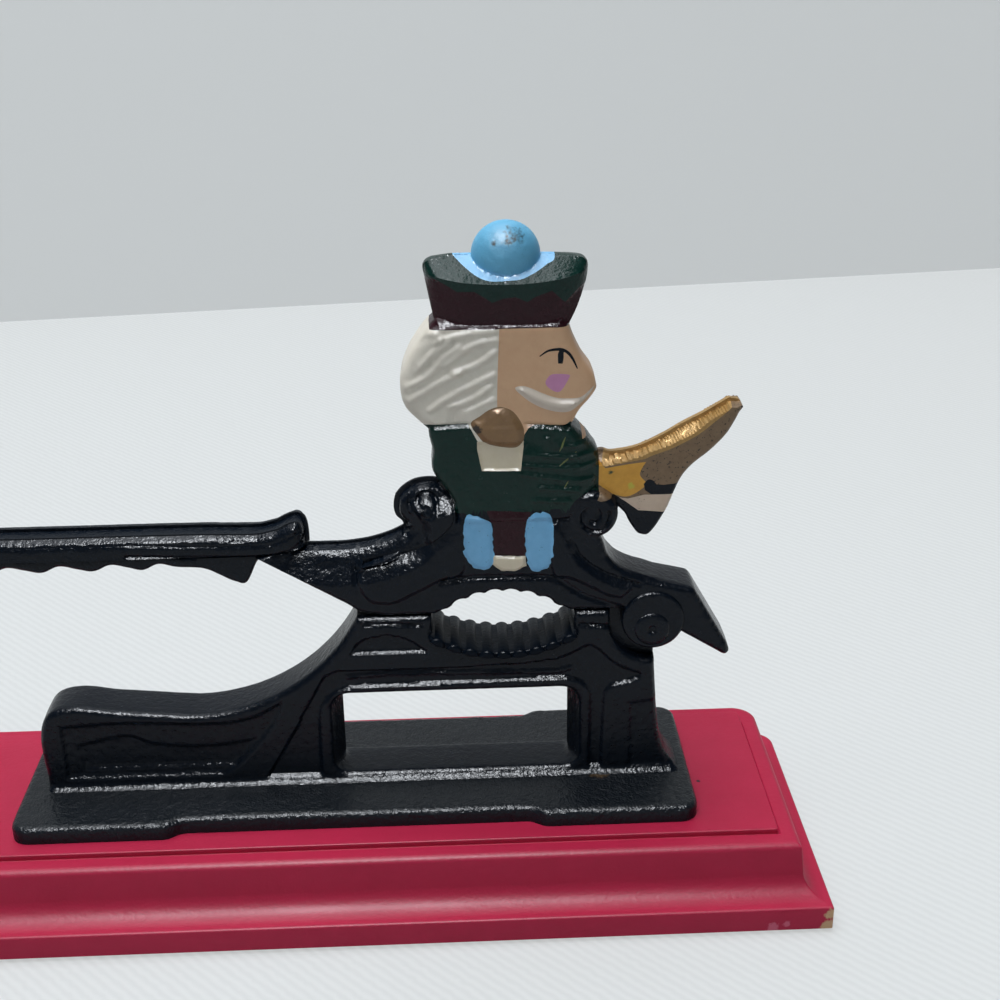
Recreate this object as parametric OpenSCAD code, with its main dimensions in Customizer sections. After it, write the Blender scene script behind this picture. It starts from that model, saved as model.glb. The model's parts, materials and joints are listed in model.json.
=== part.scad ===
// Lever nutcracker press: two painted iron castings on a moulded wood plinth.
// X runs from the handle to the tail, Z is up, Y = 0 is the castings' middle plane.
// The origin is on the table, under the centre of the plinth. Millimetres.

/* [Plinth] */
// Length of the plinth at its foot
plinth_l = 206.6; // [196:0.1:260]
// Width of the plinth at its foot
plinth_w = 70.4; // [62:0.1:110]
// Height of the wood, foot to field
plinth_h = 19; // [15:0.1:32]
// How far the moulding spreads outwards, ledge to foot
mould_run = 6.3; // [4:0.1:9]
// Height of the upright lip at the foot
lip_h = 5.2; // [3:0.1:7]
// Width of the ledge round the raised field
ledge_w = 4.5; // [2:0.1:6]
// Step from the ledge up to the field
field_rise = 1.1; // [0.5:0.1:2.5]
// Radius of the ledge's outer edge
ledge_r = 1.6; // [0.6:0.1:2.4]

/* [Pads] */
// Radius of each felt pad
pad_r = 6; // [4:0.5:9]
// Thickness of each felt pad
pad_t = 0.8; // [0.5:0.1:3]
// Distance from the plinth's foot edge to the pad's centre
pad_inset = 10; // [9.5:0.5:14]

/* [Fixing screws] */
// Radius of the screw's shank
screw_r = 2; // [1.5:0.1:2.5]
// Radius of the screw's pan head
head_r = 3.7; // [3.4:0.1:4.2]
// Height of the screw's pan head
head_h = 2.5; // [1.5:0.1:3]
// Radius of the washer
washer_r = 4.6; // [4.3:0.1:5]
// Thickness of the washer
washer_t = 0.8; // [0.5:0.1:1.2]
// Depth of the counterbore in the plinth's underside
counterbore_d = 7; // [5:0.5:10]
// Thread engaged in the casting
thread_l = 8; // [5:0.5:12]

/* [Frame casting] */
// Thickness of the upright webs
web_t = 11.3; // [10:0.1:16]
// Length of the foot flange
flange_l = 151.2; // [146:0.1:172]
// Width of the flange's end pads
flange_w = 41.2; // [36:0.1:48]
// Width of the flange's waist
waist_w = 37; // [30:0.1:41]
// Length of the flange's waist
waist_l = 80; // [60:1:110]
// Thickness of the flange
flange_t = 3.9; // [3:0.1:6]
// Height of the bench on which the lever rests
bench_h = 45.3; // [42:0.1:52]
// Length of the window
window_l = 55.2; // [48:0.1:58]
// Height of the window above the flange
window_h = 22.3; // [14:0.1:24]
// Radius of the window's top corners
window_r = 4; // [2:0.5:7]
// How far each end of the window leans in, from the face to the middle plane
window_draft = 2.1; // [1:0.1:2.6]
// Height of the sill under the window
sill_h = 1.9; // [1:0.1:3]
// Width of the post at the window
post_w = 16.8; // [15:0.1:22]
// Height of the low arm under the handle
arm_h = 21.9; // [18:0.1:26]
// Radius of the sweep from the low arm up to the bench
sweep_r = 42; // [38:0.5:50]
// Depth of the sunk fields on the web's faces
sunk_d = 0.7; // [0.4:0.1:1.2]

/* [Jaws] */
// Length of the nut space
jaw_l = 31; // [26:0.1:34]
// Depth of the lower jaw's dish below the bench
dish_d = 9.1; // [7:0.1:11]
// Length of the upper jaw's arch
arch_l = 27.4; // [23:0.1:30]
// Height of the upper jaw's arch above the bench
arch_h = 5.2; // [3.5:0.1:6]
// Width of the lower jaw
jaw_t = 14.4; // [12.4:0.1:18]
// Number of ribs across the lower jaw
rib_n = 9; // [7:1:13]
// Height of the ribs and of the arch's cusps
rib_h = 0.6; // [0.4:0.1:1]

/* [Pivot] */
// Distance from the jaws' centre to the pin
jaw_to_pin = 32.6; // [31:0.1:36]
// Depth of the pin below the bench
pin_drop = 4.5; // [4:0.1:6]
// Radius of the pin
pin_r = 2.5; // [2:0.1:3]
// Radial running clearance of the pin in the tongue
pin_clear = 0.05; // [0.03:0.01:0.1]
// Radius of the pin's riveted heads
rivet_r = 3.9; // [3.4:0.1:4.5]
// Height of the pin's riveted heads
rivet_h = 0.5; // [0.3:0.1:1]
// Radius of the boss on each cheek
boss_r = 6.9; // [6.3:0.1:8]
// How far the boss stands proud of its cheek
boss_h = 0.7; // [0.3:0.1:1.5]
// Thickness of the frame's tongue
tongue_t = 5; // [4:0.1:6]
// Side clearance between the tongue and each cheek
side_gap = 0.25; // [0.15:0.01:0.4]
// Gap between the lever and the bench at rest
rest_gap = 0.1; // [0.05:0.01:0.3]

/* [Lever casting] */
// Length of the handle, guard to end
handle_l = 78; // [60:1:79]
// Radius of the handle's half-round crown
crown_r = 4.5; // [3.5:0.1:5.5]
// Thickness of the finger web under the crown
grip_t = 7; // [5:0.1:8.5]
// Height of the crown's axis above the bench
crown_z = 16.5; // [15:0.1:19]
// Radius of the scrolls beside the figure
scroll_r = 6.9; // [6:0.1:7.5]
// How far the scroll mouldings stand proud
relief_h = 0.7; // [0.4:0.1:1]

/* [Figure] */
// Thickness of the coat
coat_t = 11; // [8:0.1:13]
// Thickness of the head
head_t = 10.5; // [8:0.1:13]
// Thickness of the hat at its lip
hat_t = 13; // [10:0.1:15]
// Length of the hat's plan, end to end
hat_l = 33.4; // [30:0.1:36]
// Radius of the dome on the hat
dome_r = 7; // [5:0.1:8]
// Thickness of the horn at the hand
horn_t = 8; // [6:0.1:10]

/* [Hidden] */
$fn = 64;
eps = 0.01;
over = 1;

// Heights and places that several pieces share
deck = pad_t + plinth_h;
window_x = -5.1;
post_x = window_x + window_l + post_w;
pin_x = post_x - 0.9;
pin_z = bench_h - pin_drop;
jaw_x = pin_x - jaw_to_pin;
guard_x = jaw_x - 51.2;
screw_fit = 0.05;
hole_gap = 0.25;
screw_xs = [-60.5, window_x - 6, post_x - post_w / 2];
slot_r = 10;
tongue_r = slot_r - 0.6;
boss_lift = 2;
scroll_step = 1.5;
iron = "#15171a";

// ---- Curves ----

// Points along an arc of radius r about c, from angle a0 to angle a1
function arc(c, r, a0, a1, n = 8) =
    [for (i = [0:n]) let (a = a0 + (a1 - a0) * i / n) c + r * [cos(a), sin(a)]];

// A point of the smooth curve between b and c, with a and d as its neighbours
function between(a, b, c, d, t) =
    0.5 * (2 * b + (c - a) * t + (2 * a - 5 * b + 4 * c - d) * t ^ 2
           + (3 * b - a - 3 * c + d) * t ^ 3);

// A smooth open curve through the points p
function smooth(p, n = 4) =
    let (m = len(p) - 1)
    concat([for (i = [0:m - 1]) for (k = [0:n - 1])
                between(p[max(i - 1, 0)], p[i], p[i + 1], p[min(i + 2, m)], k / n)],
           [p[m]]);

// A smooth closed curve through the points p
function closed(p, n = 4) =
    let (m = len(p))
    [for (i = [0:m - 1]) for (k = [0:n - 1])
        between(p[(i + m - 1) % m], p[i], p[(i + 1) % m], p[(i + 2) % m], k / n)];

// A smooth open curve and its mirror image, joined to one closed outline
function mirrored(p) = let (s = smooth(p, 3)) concat(s, back([for (q = s) [-q[0], q[1]]]));

// The points p moved by the vector d
function shift(p, d) = [for (q = p) q + d];

// The points p in the opposite order
function back(p) = [for (i = [len(p) - 1:-1:0]) p[i]];

// The radius of a circle that rises by s over a chord of length c
function chord_r(c, s) = (c * c / 4 + s * s) / (2 * s);

// A plate of thickness t in the castings' middle plane; the outline's second axis is Z
module plate(t) rotate([90, 0, 0]) linear_extrude(t, center = true) children();

// A round bar of radius r and length l across the castings, at the place p = [x, z]
module across(r, l, p) translate([p[0], 0, p[1]]) rotate([90, 0, 0]) cylinder(r = r, h = l, center = true);

// ---- Plinth, pads and fixings ----

// Cross-section of the moulding on a plinth that is w wide at its foot
module moulding(w) {
    nose_r = 0.6;
    lean = 0.5;
    cove_start = 262;
    foot = w / 2;
    ledge = foot - mould_run;
    cove_r = mould_run - nose_r - lean;
    ledge_h = plinth_h - field_rise;
    side = concat(
        [[foot, 0]],
        arc([foot - nose_r, lip_h], nose_r, 0, 90, 3),
        back(arc([foot - nose_r, lip_h + nose_r + cove_r], cove_r, 180, cove_start, 8)),
        arc([ledge - ledge_r, ledge_h - ledge_r], ledge_r, 0, 90, 5),
        [[ledge - ledge_w, ledge_h], [ledge - ledge_w, plinth_h]]);
    polygon(concat(side, back([for (p = side) [-p[0], p[1]]])));
}

// Moulded hardwood board, painted, with counterbored screw holes from below
module plinth() color("crimson") translate([0, 0, pad_t]) difference() {
    intersection() {
        rotate([90, 0, 0]) linear_extrude(plinth_w, center = true) moulding(plinth_l);
        rotate([90, 0, 90]) linear_extrude(plinth_l, center = true) moulding(plinth_w);
    }
    for (x = screw_xs) translate([x, 0, -over]) {
        cylinder(r = screw_r + hole_gap, h = plinth_h + 2 * over);
        cylinder(r = washer_r + hole_gap, h = counterbore_d + over);
    }
}

// One felt disc at a corner of the plinth; sx and sy are the corner's signs
module pad(sx, sy) color("darkgreen")
    translate([sx * (plinth_l / 2 - pad_inset), sy * (plinth_w / 2 - pad_inset), 0])
        cylinder(r = pad_r, h = pad_t);

module pad_front_left() pad(-1, -1);
module pad_front_right() pad(1, -1);
module pad_rear_left() pad(-1, 1);
module pad_rear_right() pad(1, 1);

// Flat washer against the counterbore's roof
module washer(x) color("silver") translate([x, 0, pad_t + counterbore_d - washer_t]) difference() {
    cylinder(r = washer_r, h = washer_t);
    translate([0, 0, -over]) cylinder(r = screw_r + hole_gap, h = washer_t + 2 * over);
}

module washer_left() washer(screw_xs[0]);
module washer_middle() washer(screw_xs[1]);
module washer_right() washer(screw_xs[2]);

// Pan-head machine screw, driven from below into the casting
module screw(x) color("silver") {
    seat = pad_t + counterbore_d - washer_t;
    slot_w = 1;
    slot_d = 1.2;
    edge_r = 1;
    translate([x, 0, 0]) {
        translate([0, 0, seat]) cylinder(r = screw_r, h = deck + thread_l - seat);
        difference() {
            translate([0, 0, seat - head_h]) rotate_extrude() polygon(concat(
                [[0, head_h], [0, 0]],
                arc([head_r - edge_r, edge_r], edge_r, -90, 0, 4),
                [[head_r, head_h]]));
            translate([-head_r - over, -slot_w / 2, seat - head_h - over])
                cube([2 * (head_r + over), slot_w, slot_d + over]);
        }
    }
}

module screw_left() screw(screw_xs[0]);
module screw_middle() screw(screw_xs[1]);
module screw_right() screw(screw_xs[2]);

// ---- Jaws ----

dish_edge = 4.8;
dish_r = chord_r(jaw_l, dish_d - dish_edge);
dish_c = [jaw_x, bench_h - dish_d + dish_r];
arch_r = chord_r(arch_l, arch_h);
arch_c = [jaw_x, bench_h + arch_h - arch_r];
rib_pitch = jaw_l / rib_n;

// The radius of circles a pitch apart that leave cusps of height h between them
function cusp_r(pitch, h) = chord_r(pitch, h);

// Places of n ribs on a circle of radius r about c, above it if up is 1, below if -1
function rib_places(n, pitch, c, r, up) =
    [for (i = [0:n - 1])
        let (x = (i - (n - 1) / 2) * pitch)
        c + [x, up * sqrt(r * r - x * x)]];

// ---- Frame casting ----

// Plan of the flange: wide pads at both ends, a waist between, all edges moved in by e
module flange_plan(e) {
    corner_r = 4;
    step = 2.2;
    half = flange_l / 2 - e;
    pad_y = flange_w / 2 - e;
    waist_y = waist_w / 2 - e;
    quarter = concat(
        arc([half - corner_r, pad_y - corner_r], corner_r, 0, 90, 5),
        smooth([[waist_l / 2 + step, pad_y], [waist_l / 2 + step / 2, pad_y - (pad_y - waist_y) / 6],
                [waist_l / 2 - step / 2, waist_y + (pad_y - waist_y) / 6],
                [waist_l / 2 - step, waist_y]], 2));
    right = concat([for (p = back(quarter)) [p[0], -p[1]]], quarter);
    polygon(concat(right, [for (p = back(right)) [-p[0], p[1]]]));
}

// The flange's slab with its softened upper edge
module flange() for (s = [[0, 1.1], [0.3, 0.5], [0.9, 0]])
    linear_extrude(flange_t - s[1]) flange_plan(s[0]);

// Outline of the upright web, without its openings
module web_outline() {
    end_x = -flange_l / 2 + 5.6;
    nose_x = window_x + 6;
    nose_h = bench_h - 1.2;
    sweep_a = acos((sweep_r - nose_h + arm_h) / sweep_r);
    sweep_x = nose_x - sweep_r * sin(sweep_a);
    lean = 1.5;
    toe_x = flange_l / 2 - 2;
    polygon(concat(
        [[end_x, flange_t - over]],
        smooth([[end_x, flange_t + 3], [end_x - 0.4, arm_h - 5], [end_x + 2, arm_h + 1.2],
                [end_x + 8, arm_h + 3], [end_x + 17, arm_h + 1.7], [sweep_x, arm_h]], 3),
        arc([sweep_x, arm_h + sweep_r], sweep_r, -88, sweep_a - 90, 14),
        [[nose_x + 0.7, bench_h], [post_x, bench_h], [post_x, bench_h - 14]],
        smooth([[post_x + 0.5, flange_t + 20], [post_x + lean, flange_t + 10],
                [post_x + lean + 1.8, flange_t + 4], [toe_x, flange_t - 0.6]], 3),
        [[toe_x, flange_t - over]]));
}

// The window under the beam: rounded corners, and ends that lean in to the middle plane
module window() {
    foot_r = 3;
    x0 = window_x;
    x1 = window_x + window_l;
    z0 = flange_t + sill_h;
    z1 = flange_t + window_h;
    face = web_t / 2;
    out = window_draft * over / face;
    plan = [[x1 + out, -face - over], [x1 - window_draft, 0], [x1 + out, face + over],
            [x0 - out, face + over], [x0 + window_draft, 0], [x0 - out, -face - over]];
    intersection() {
        plate(web_t + 2 * over) polygon(concat(
            arc([x1 - foot_r, z0 + foot_r], foot_r, -90, 0, 5),
            arc([x1 - window_r, z1 - window_r], window_r, 0, 90, 6),
            arc([x0 + window_r, z1 - window_r], window_r, 90, 180, 6),
            arc([x0 + foot_r, z0 + foot_r], foot_r, 180, 270, 5)));
        linear_extrude(2 * window_h) polygon(plan);
    }
}

// The nut's dish, with upright ends up to the bench
module dish_outline() {
    edge_z = bench_h - dish_edge;
    translate([jaw_x - jaw_l / 2, edge_z]) square([jaw_l, dish_edge + over]);
    intersection() {
        translate(dish_c) circle(r = dish_r);
        translate([jaw_x - jaw_l / 2, edge_z - dish_d]) square([jaw_l, dish_d + eps]);
    }
}

// The lower jaw: a curved shelf, proud of the web, with rounded ribs across it
module lower_jaw() {
    shelf = 0.5;
    rib_foot = 1.3;
    rib_r = 0.53 * rib_pitch;
    plate(jaw_t - 1) jaw_band(0, shelf);
    intersection() {
        union() for (p = rib_places(rib_n, rib_pitch, dish_c, dish_r + rib_r - rib_h, -1)) across(rib_r, jaw_t, p);
        plate(jaw_t) jaw_band(-rib_r, rib_foot);
    }
}

// A band that follows the dish, from a above its surface to b below it
module jaw_band(a, b) {
    reach = 2 * dish_d;
    difference() {
        intersection() {
            translate(dish_c) circle(r = dish_r + b);
            translate([jaw_x - jaw_l / 2 - 1, bench_h - reach]) square([jaw_l + 2, reach - 0.1]);
        }
        translate(dish_c) circle(r = dish_r + a);
    }
}

// The pocket beside the pin, where a cheek of the lever swings
module cheek_pocket() {
    pocket_r = boss_r + 2.5;
    c = [pin_x + 0.2, pin_z + 1.3];
    translate(c) circle(r = pocket_r);
    translate([c[0] - pocket_r, c[1]]) square([3 * pocket_r, 2 * pocket_r]);
    translate([c[0], c[1] - 3]) square([2 * pocket_r, pocket_r]);
}

// The tongue that enters the lever's fork, a plate of tongue_t about the pin
module tongue_outline() {
    root_x = pin_x - slot_r - 2;
    intersection() {
        translate([root_x, pin_z - slot_r - 2]) square([pin_x - root_x, slot_r + 2 + pin_drop]);
        union() {
            translate([pin_x, pin_z]) circle(r = tongue_r);
            translate([root_x, pin_z - slot_r - 2]) square([pin_x - root_x, slot_r - 2]);
        }
    }
    translate([pin_x, pin_z]) circle(r = pin_r + 3);
    translate([pin_x - 1, pin_z - slot_r]) square([post_x - pin_x + 1, slot_r]);
}

// Field that runs along the beam and down beside the window, with a shield over the post
module channel() {
    w = [window_x, flange_t + window_h];
    v = w + [window_l, 0];
    foot = 1.1 - window_h;
    polygon(concat(
        shift([[4.5, 6.4], [33.2, 6.6]], w),
        smooth(shift([[-10.5, 7.1], [-4.6, 7.9], [-1.5, 9.3], [0.8, 10.5], [2.4, 11], [4.4, 9.9], [6.7, 7.5],
                      [9, 5.6], [14.1, 3.3]], v), 2),
        shift([[14.1, 2], [8.7, 0.1]], v),
        smooth(shift([[6.8, -0.8], [6, -3], [5.8, -7.8], [5.5, foot]], v), 2),
        smooth(shift([[2, foot], [2.1, -2.3], [0.9, 0.3], [-1.9, 1.8]], v), 2),
        smooth(shift([[6.8, 1.6], [2.1, 0.6], [-1.1, -2], [-2.6, -6], [-2.7, foot]], w), 2),
        smooth(shift([[-15.9, foot], [-12.7, -15.3], [-6.8, -4.7], [-2.8, 2.8], [-1.1, 5.1], [1.4, 6.2]], w), 2)));
}

// Field on the side of the low arm
module arm_field() polygon(concat(
    smooth(shift([[-60.9, -5.7], [-46, -5], [-26.8, -5.8], [-18.6, -4.8], [-9.5, 1]], [window_x, arm_h + 4.3]), 2),
    smooth(shift([[-9.9, -0.7], [-12.1, -6.3], [-20.4, -16.7], [-24.9, -20.2]], [window_x, arm_h + 4.3]), 2),
    shift([[-60.9, -20.2]], [window_x, arm_h + 4.3])));

// Half-moon under the left end of the bench
module half_moon() {
    chord = 18;
    rise = 5.2;
    foot = J + [-24.8, -9.3];
    r = chord_r(chord, rise);
    intersection() {
        translate(foot + [0, rise - r]) circle(r = r);
        translate(foot - [chord / 2, 0]) square([chord, rise + over]);
    }
}

// The fields are sunk into both faces of the web
module sunk_fields() for (side = [-1, 1]) translate([0, side * web_t / 2, 0]) plate(2 * sunk_d) {
    channel();
    arm_field();
    half_moon();
}

// Cast foot flange, webs, beam, lower jaw and tongue in one piece
module frame_casting() color(iron) translate([0, 0, deck]) difference() {
    union() {
        flange();
        difference() {
            union() {
                difference() {
                    plate(web_t) difference() {
                        web_outline();
                        cheek_pocket();
                    }
                    window();
                    sunk_fields();
                }
                plate(tongue_t) tongue_outline();
            }
            plate(jaw_t + 2 * over) dish_outline();
        }
        lower_jaw();
    }
    across(pin_r + pin_clear, web_t, [pin_x, pin_z]);
    for (x = screw_xs) translate([x, 0, -over]) cylinder(r = screw_r + screw_fit, h = thread_l + over + 1);
}

// ---- Pivot pin ----

// Rivet through both cheeks and the tongue, its ends spread to low heads
module pivot_pin() color("dimgray") translate([pin_x, 0, deck + pin_z]) rotate([90, 0, 0]) {
    half = web_t / 2 + boss_h;
    dimple_r = 1.1;
    difference() {
        rotate_extrude() polygon([
            [0, -half - rivet_h], [rivet_r - rivet_h, -half - rivet_h], [rivet_r, -half],
            [pin_r, -half], [pin_r, half],
            [rivet_r, half], [rivet_r - rivet_h, half + rivet_h], [0, half + rivet_h]]);
        for (s = [-1, 1]) translate([0, 0, s * (half + rivet_h)]) sphere(r = dimple_r);
    }
}

// ---- Lever casting ----

// Anchors of the lever's outline: the middle of the jaws on the bench, and the pin
J = [jaw_x, bench_h];
P = [pin_x, pin_z];
boss_c = P + [0.2, boss_lift];
scroll_left = J + [-15.2, 23.6];
scroll_right = J + [19.4, 22.8];

// Outline of the body: neck, upper jaw, shoulders and tail
module lever_outline() {
    polygon(concat(
        shift([[-52.5, 14.6], [-33.6, 3.0]], J),
        smooth(shift([[-32.8, 2.4], [-31.3, 1.4], [-27.5, 0.4], [-24, rest_gap]], J), 3),
        [[pin_x, bench_h + rest_gap], P + [6.4, -1.5]],
        smooth(shift([[14.6, -6.7], [16.4, -7.7], [17.5, -6.8], [16.9, -4.8]], P), 3),
        smooth(shift([[10, 7.4], [9, 8.9], [7.4, 9.6], [1.5, 11.2], [-5.9, 14], [-9.4, 17],
                      [-10.6, 20]], P), 3),
        [scroll_right, scroll_left],
        smooth(shift([[-20.6, 18.7], [-23.5, 16.6], [-28.8, 14.7], [-35.9, 13.9], [-42, 14.2]], J), 3)));
    translate(boss_c) circle(r = boss_r);
    translate(scroll_left) circle(r = scroll_r);
    translate(scroll_right) circle(r = scroll_r - scroll_step);
}

// The arch over the nut, cut to scallops that leave cusps between them
module arch_outline() {
    scallops = rib_n - 1;
    pitch = arch_l / scallops;
    scallop_r = cusp_r(pitch, rib_h);
    translate(arch_c) intersection() {
        circle(r = arch_r);
        translate([-arch_l, arch_r - arch_h - over]) square([2 * arch_l, arch_h + 2 * over]);
    }
    for (p = rib_places(scallops, pitch, arch_c, arch_r + rib_h - scallop_r, 1)) translate(p) circle(r = scallop_r);
}

// Half-round crown with a thin finger web beneath it
module handle() {
    crown = bench_h + crown_z;
    end_x = guard_x - handle_l;
    knob_r = crown_r + 1.2;
    hook = [[0.6, -2.2], [-0.6, -4.4], [-3, -8.1], [-6.6, -7.2], [-10.4, -4.3], [-15, -4.6],
            [-18.5, -4.2], [-22.4, -3.4], [-25.8, -4.7]];
    pitch = 11;
    scallops = [for (x = [-29:-pitch:-handle_l + pitch]) each [[x, -4], [x - pitch / 3, -3.3],
                [x - 2 * pitch / 3, -4.7]]];
    plate(grip_t) polygon(concat(
        [[guard_x + 8, crown + 1], [guard_x + 8, crown - 3.4]],
        smooth([for (g = concat(hook, scallops)) [guard_x, crown] + g], 3),
        [[end_x, crown], [end_x, crown + 1]]));
    intersection() {
        union() {
            translate([end_x, 0, crown]) rotate([0, 90, 0]) cylinder(r = crown_r, h = handle_l);
            translate([end_x, 0, crown]) sphere(r = knob_r);
        }
        translate([end_x - 2 * knob_r, -2 * knob_r, crown - 1.2])
            cube([handle_l + 4 * knob_r, 4 * knob_r, 4 * knob_r]);
    }
    guard_hump(crown);
}

// The thumb guard where the crown rises and ends at the neck
module guard_hump(crown) {
    hull() {
        translate([guard_x - 1, 0, crown]) sphere(r = crown_r, $fn = 28);
        translate([guard_x + 7, 0, crown + 3.3]) sphere(r = crown_r - 0.9, $fn = 28);
        translate([guard_x + 7.2, 0, crown - 0.5]) sphere(r = crown_r - 0.9, $fn = 28);
    }
}

// The fork's slot: room for the tongue to turn about the pin
module fork_slot() {
    across(slot_r, tongue_t + 2 * side_gap, P);
    translate([pin_x - slot_r, -tongue_t / 2 - side_gap, pin_z - slot_r])
        cube([2 * slot_r, tongue_t + 2 * side_gap, slot_r]);
}

// Bands that sweep down from the two scrolls, on both faces
module left_band() polygon(closed(shift([[-31.2, 9], [-30.4, 11.6], [-23.6, 12.7], [-16.2, 16.2],
    [-12.3, 20.3], [-9.5, 24], [-7.5, 16.5], [-10.1, 10.1], [-19, 5.5], [-24, 3.7], [-30, 6]], J), 3));
module right_band() polygon(concat(smooth(shift([[9.5, 25], [13.5, 17.5], [20, 12.2], [27.6, 8.6]], J), 3),
    smooth(shift([[25.2, 3.6], [20, 4.8], [14.5, 7.8], [9.5, 12.5]], J), 3)));

// Volute: a raised ring and eye on each face of a scroll
module volute(c, size) {
    for (r = [[size - 1, size - 2.2], [size - 3.4, size - 4.6]])
        translate([c[0], 0, c[1]]) rotate([90, 0, 0]) difference() {
            cylinder(r = r[0], h = web_t + 2 * relief_h, center = true);
            cylinder(r = r[1], h = web_t + 2 * relief_h + 2 * over, center = true);
        }
}

// ---- Figure, cast with the lever ----

// Half-thickness of the coat and the head at each height above the bench
module figure_section() polygon(shift(mirrored([
    [web_t / 2, 5], [web_t / 2, 12], [coat_t / 2 - 0.4, 22], [coat_t / 2, 30], [coat_t / 2, 38],
    [coat_t / 2 - 1.6, 43.5], [head_t / 2, 50], [head_t / 2 + 0.2, 58], [head_t / 2 - 0.4, 65],
    [head_t / 2 - 0.8, 67]]), [0, bench_h]));

// Half-thickness of the hat: it flares up to the lip, then slopes in to a ridge on the middle plane
module hat_section() polygon(shift(concat(
    back([for (p = hat_side()) [-p[0], p[1]]]), hat_side()), [0, bench_h]));
function hat_side() = [[head_t / 2 + 0.4, 64.6], [hat_t / 2 - 0.1, 73], [hat_t / 2, 73.7],
    [hat_t / 2 - 0.4, 74.2], [0.9, 78.3], [0.4, 78.5]];

// Plan of the hat: a boat shape with blunt ends
module hat_plan() {
    fullness = 4;
    ends = [for (x = [-1:0.125:1]) [x * hat_l / 2, hat_t / 2 * sqrt(1 - abs(x) ^ fullness) + 0.6]];
    translate([jaw_x + 1.7, 0]) polygon(concat(ends, back([for (p = ends) [p[0], -p[1]]])));
}

// Extrudes the outline children(0) across the figure and trims it to the side section children(1)
module relief_block() intersection() {
    reach = 60;
    plate(2 * hat_t) children(0);
    translate([jaw_x - reach, 0, 0]) rotate([90, 0, 90]) linear_extrude(2 * reach) children(1);
}

// Coat with its bent arm
module coat_outline() polygon(closed(shift([[-13.8, 44.2], [-3, 45], [9, 44.5], [13.6, 42.6], [17.9, 38.2],
    [20.4, 35], [20.4, 30], [17.5, 25.5], [13, 22], [0, 21.5], [-9.5, 22], [-13.2, 28], [-13.9, 35]], J), 3));

// Head in profile: hair to the left, face to the right
module head_outline() polygon(concat(
    smooth(shift([[-13, 65.4], [-15.6, 61.6], [-18.4, 57.8], [-19.9, 53.6], [-19, 49.4], [-15, 43.6]], J), 4),
    shift([[-6, 41], [9, 41]], J),
    smooth(shift([[14, 44], [16.2, 47], [18.6, 49.4], [19.6, 51.4], [19.3, 53.3]], J), 3),
    smooth(shift([[19.6, 53.6], [17.2, 57.4], [15, 60.8], [13.4, 65]], J), 3)));

// Hat: a band that flares up to a lip and a ridged top
module hat_outline() polygon(concat(
    shift([[-12.2, 64.8], [-13.1, 66]], J),
    smooth(shift([[-13.4, 68], [-14.6, 74.4], [-14.6, 77.2], [-13.4, 78.4]], J), 3),
    shift([[12, 78.4]], J),
    smooth(shift([[16, 78], [17.8, 77.2], [18.2, 75.6], [17.4, 72.6], [14.2, 65.6]], J), 3),
    shift([[13.4, 64.8]], J)));

// Hand and curved horn held out in front of the figure
module horn_outline() polygon(concat(
    smooth(shift([[16, 34.4], [21.5, 34.4], [25, 33.4], [28.7, 34.1], [35.3, 36.8], [41, 40.3], [48.7, 45.2],
                  [50.2, 45], [50.8, 43.6]], J), 3),
    smooth(shift([[47.9, 40.9], [44.3, 36.6], [39.3, 32], [37.6, 30.2], [36.8, 27.5], [34.4, 22.2],
                  [31.6, 18], [30.2, 17.4], [28.7, 18], [25.7, 21.8], [22, 25.4], [16, 28]], J), 3)));

// Panels that stand a little proud on both faces: the coat's two tails, the trousers and the boots
module figure_panels() {
    for (x = [-8.1, 5.2]) translate(J + [x, 10.2]) square([6.1, 13.5]);
    translate(J + [-2, 13.8]) square([7.2, 10.5]);
    translate(J + [-2, 9.8]) square([7.2, 4]);
}

// Hat with a low dome on its ridge
module hat() {
    dome_z = 78.2;
    dome_flat = 0.8;
    intersection() {
        relief_block() {
            hat_outline();
            hat_section();
        }
        linear_extrude(2 * deck + bench_h + dome_z) hat_plan();
    }
    translate([jaw_x + 1.7, 0, bench_h + dome_z]) scale([1, dome_flat, 1]) sphere(r = dome_r, $fn = 48);
}

// Hand and horn: thick at the hand, thinner towards the tip
module horn() {
    hand_reach = 36;
    plate(horn_t) intersection() {
        horn_outline();
        translate(J) square([hand_reach, hand_reach + 10]);
    }
    plate(horn_t - 2) horn_outline();
}

module figure() {
    relief_block() {
        union() {
            coat_outline();
            head_outline();
        }
        figure_section();
    }
    hat();
    horn();
    plate(web_t + 2 * relief_h) figure_panels();
}

// Cast handle, upper jaw, fork, tail and figure in one piece
module lever_casting() color(iron) translate([0, 0, deck]) difference() {
    union() {
        difference() {
            union() {
                plate(web_t) lever_outline();
                plate(web_t + 2 * relief_h) {
                    left_band();
                    right_band();
                }
                across(boss_r, web_t + 2 * boss_h, boss_c);
            }
            plate(web_t + 2 * over + 2 * relief_h) arch_outline();
        }
        volute(scroll_left, scroll_r);
        volute(scroll_right, scroll_r - scroll_step);
        handle();
        figure();
    }
    fork_slot();
    across(pin_r + 0.02, web_t + 4 * boss_h, P);
}

plinth();
frame_casting();
lever_casting();
pivot_pin();
screw_left();
screw_middle();
screw_right();
washer_left();
washer_middle();
washer_right();
pad_front_left();
pad_front_right();
pad_rear_left();
pad_rear_right();
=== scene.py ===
import json
import math

import bmesh
import bpy
import numpy as np
from mathutils import Matrix, Vector, noise
from mathutils.geometry import delaunay_2d_cdt


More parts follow.
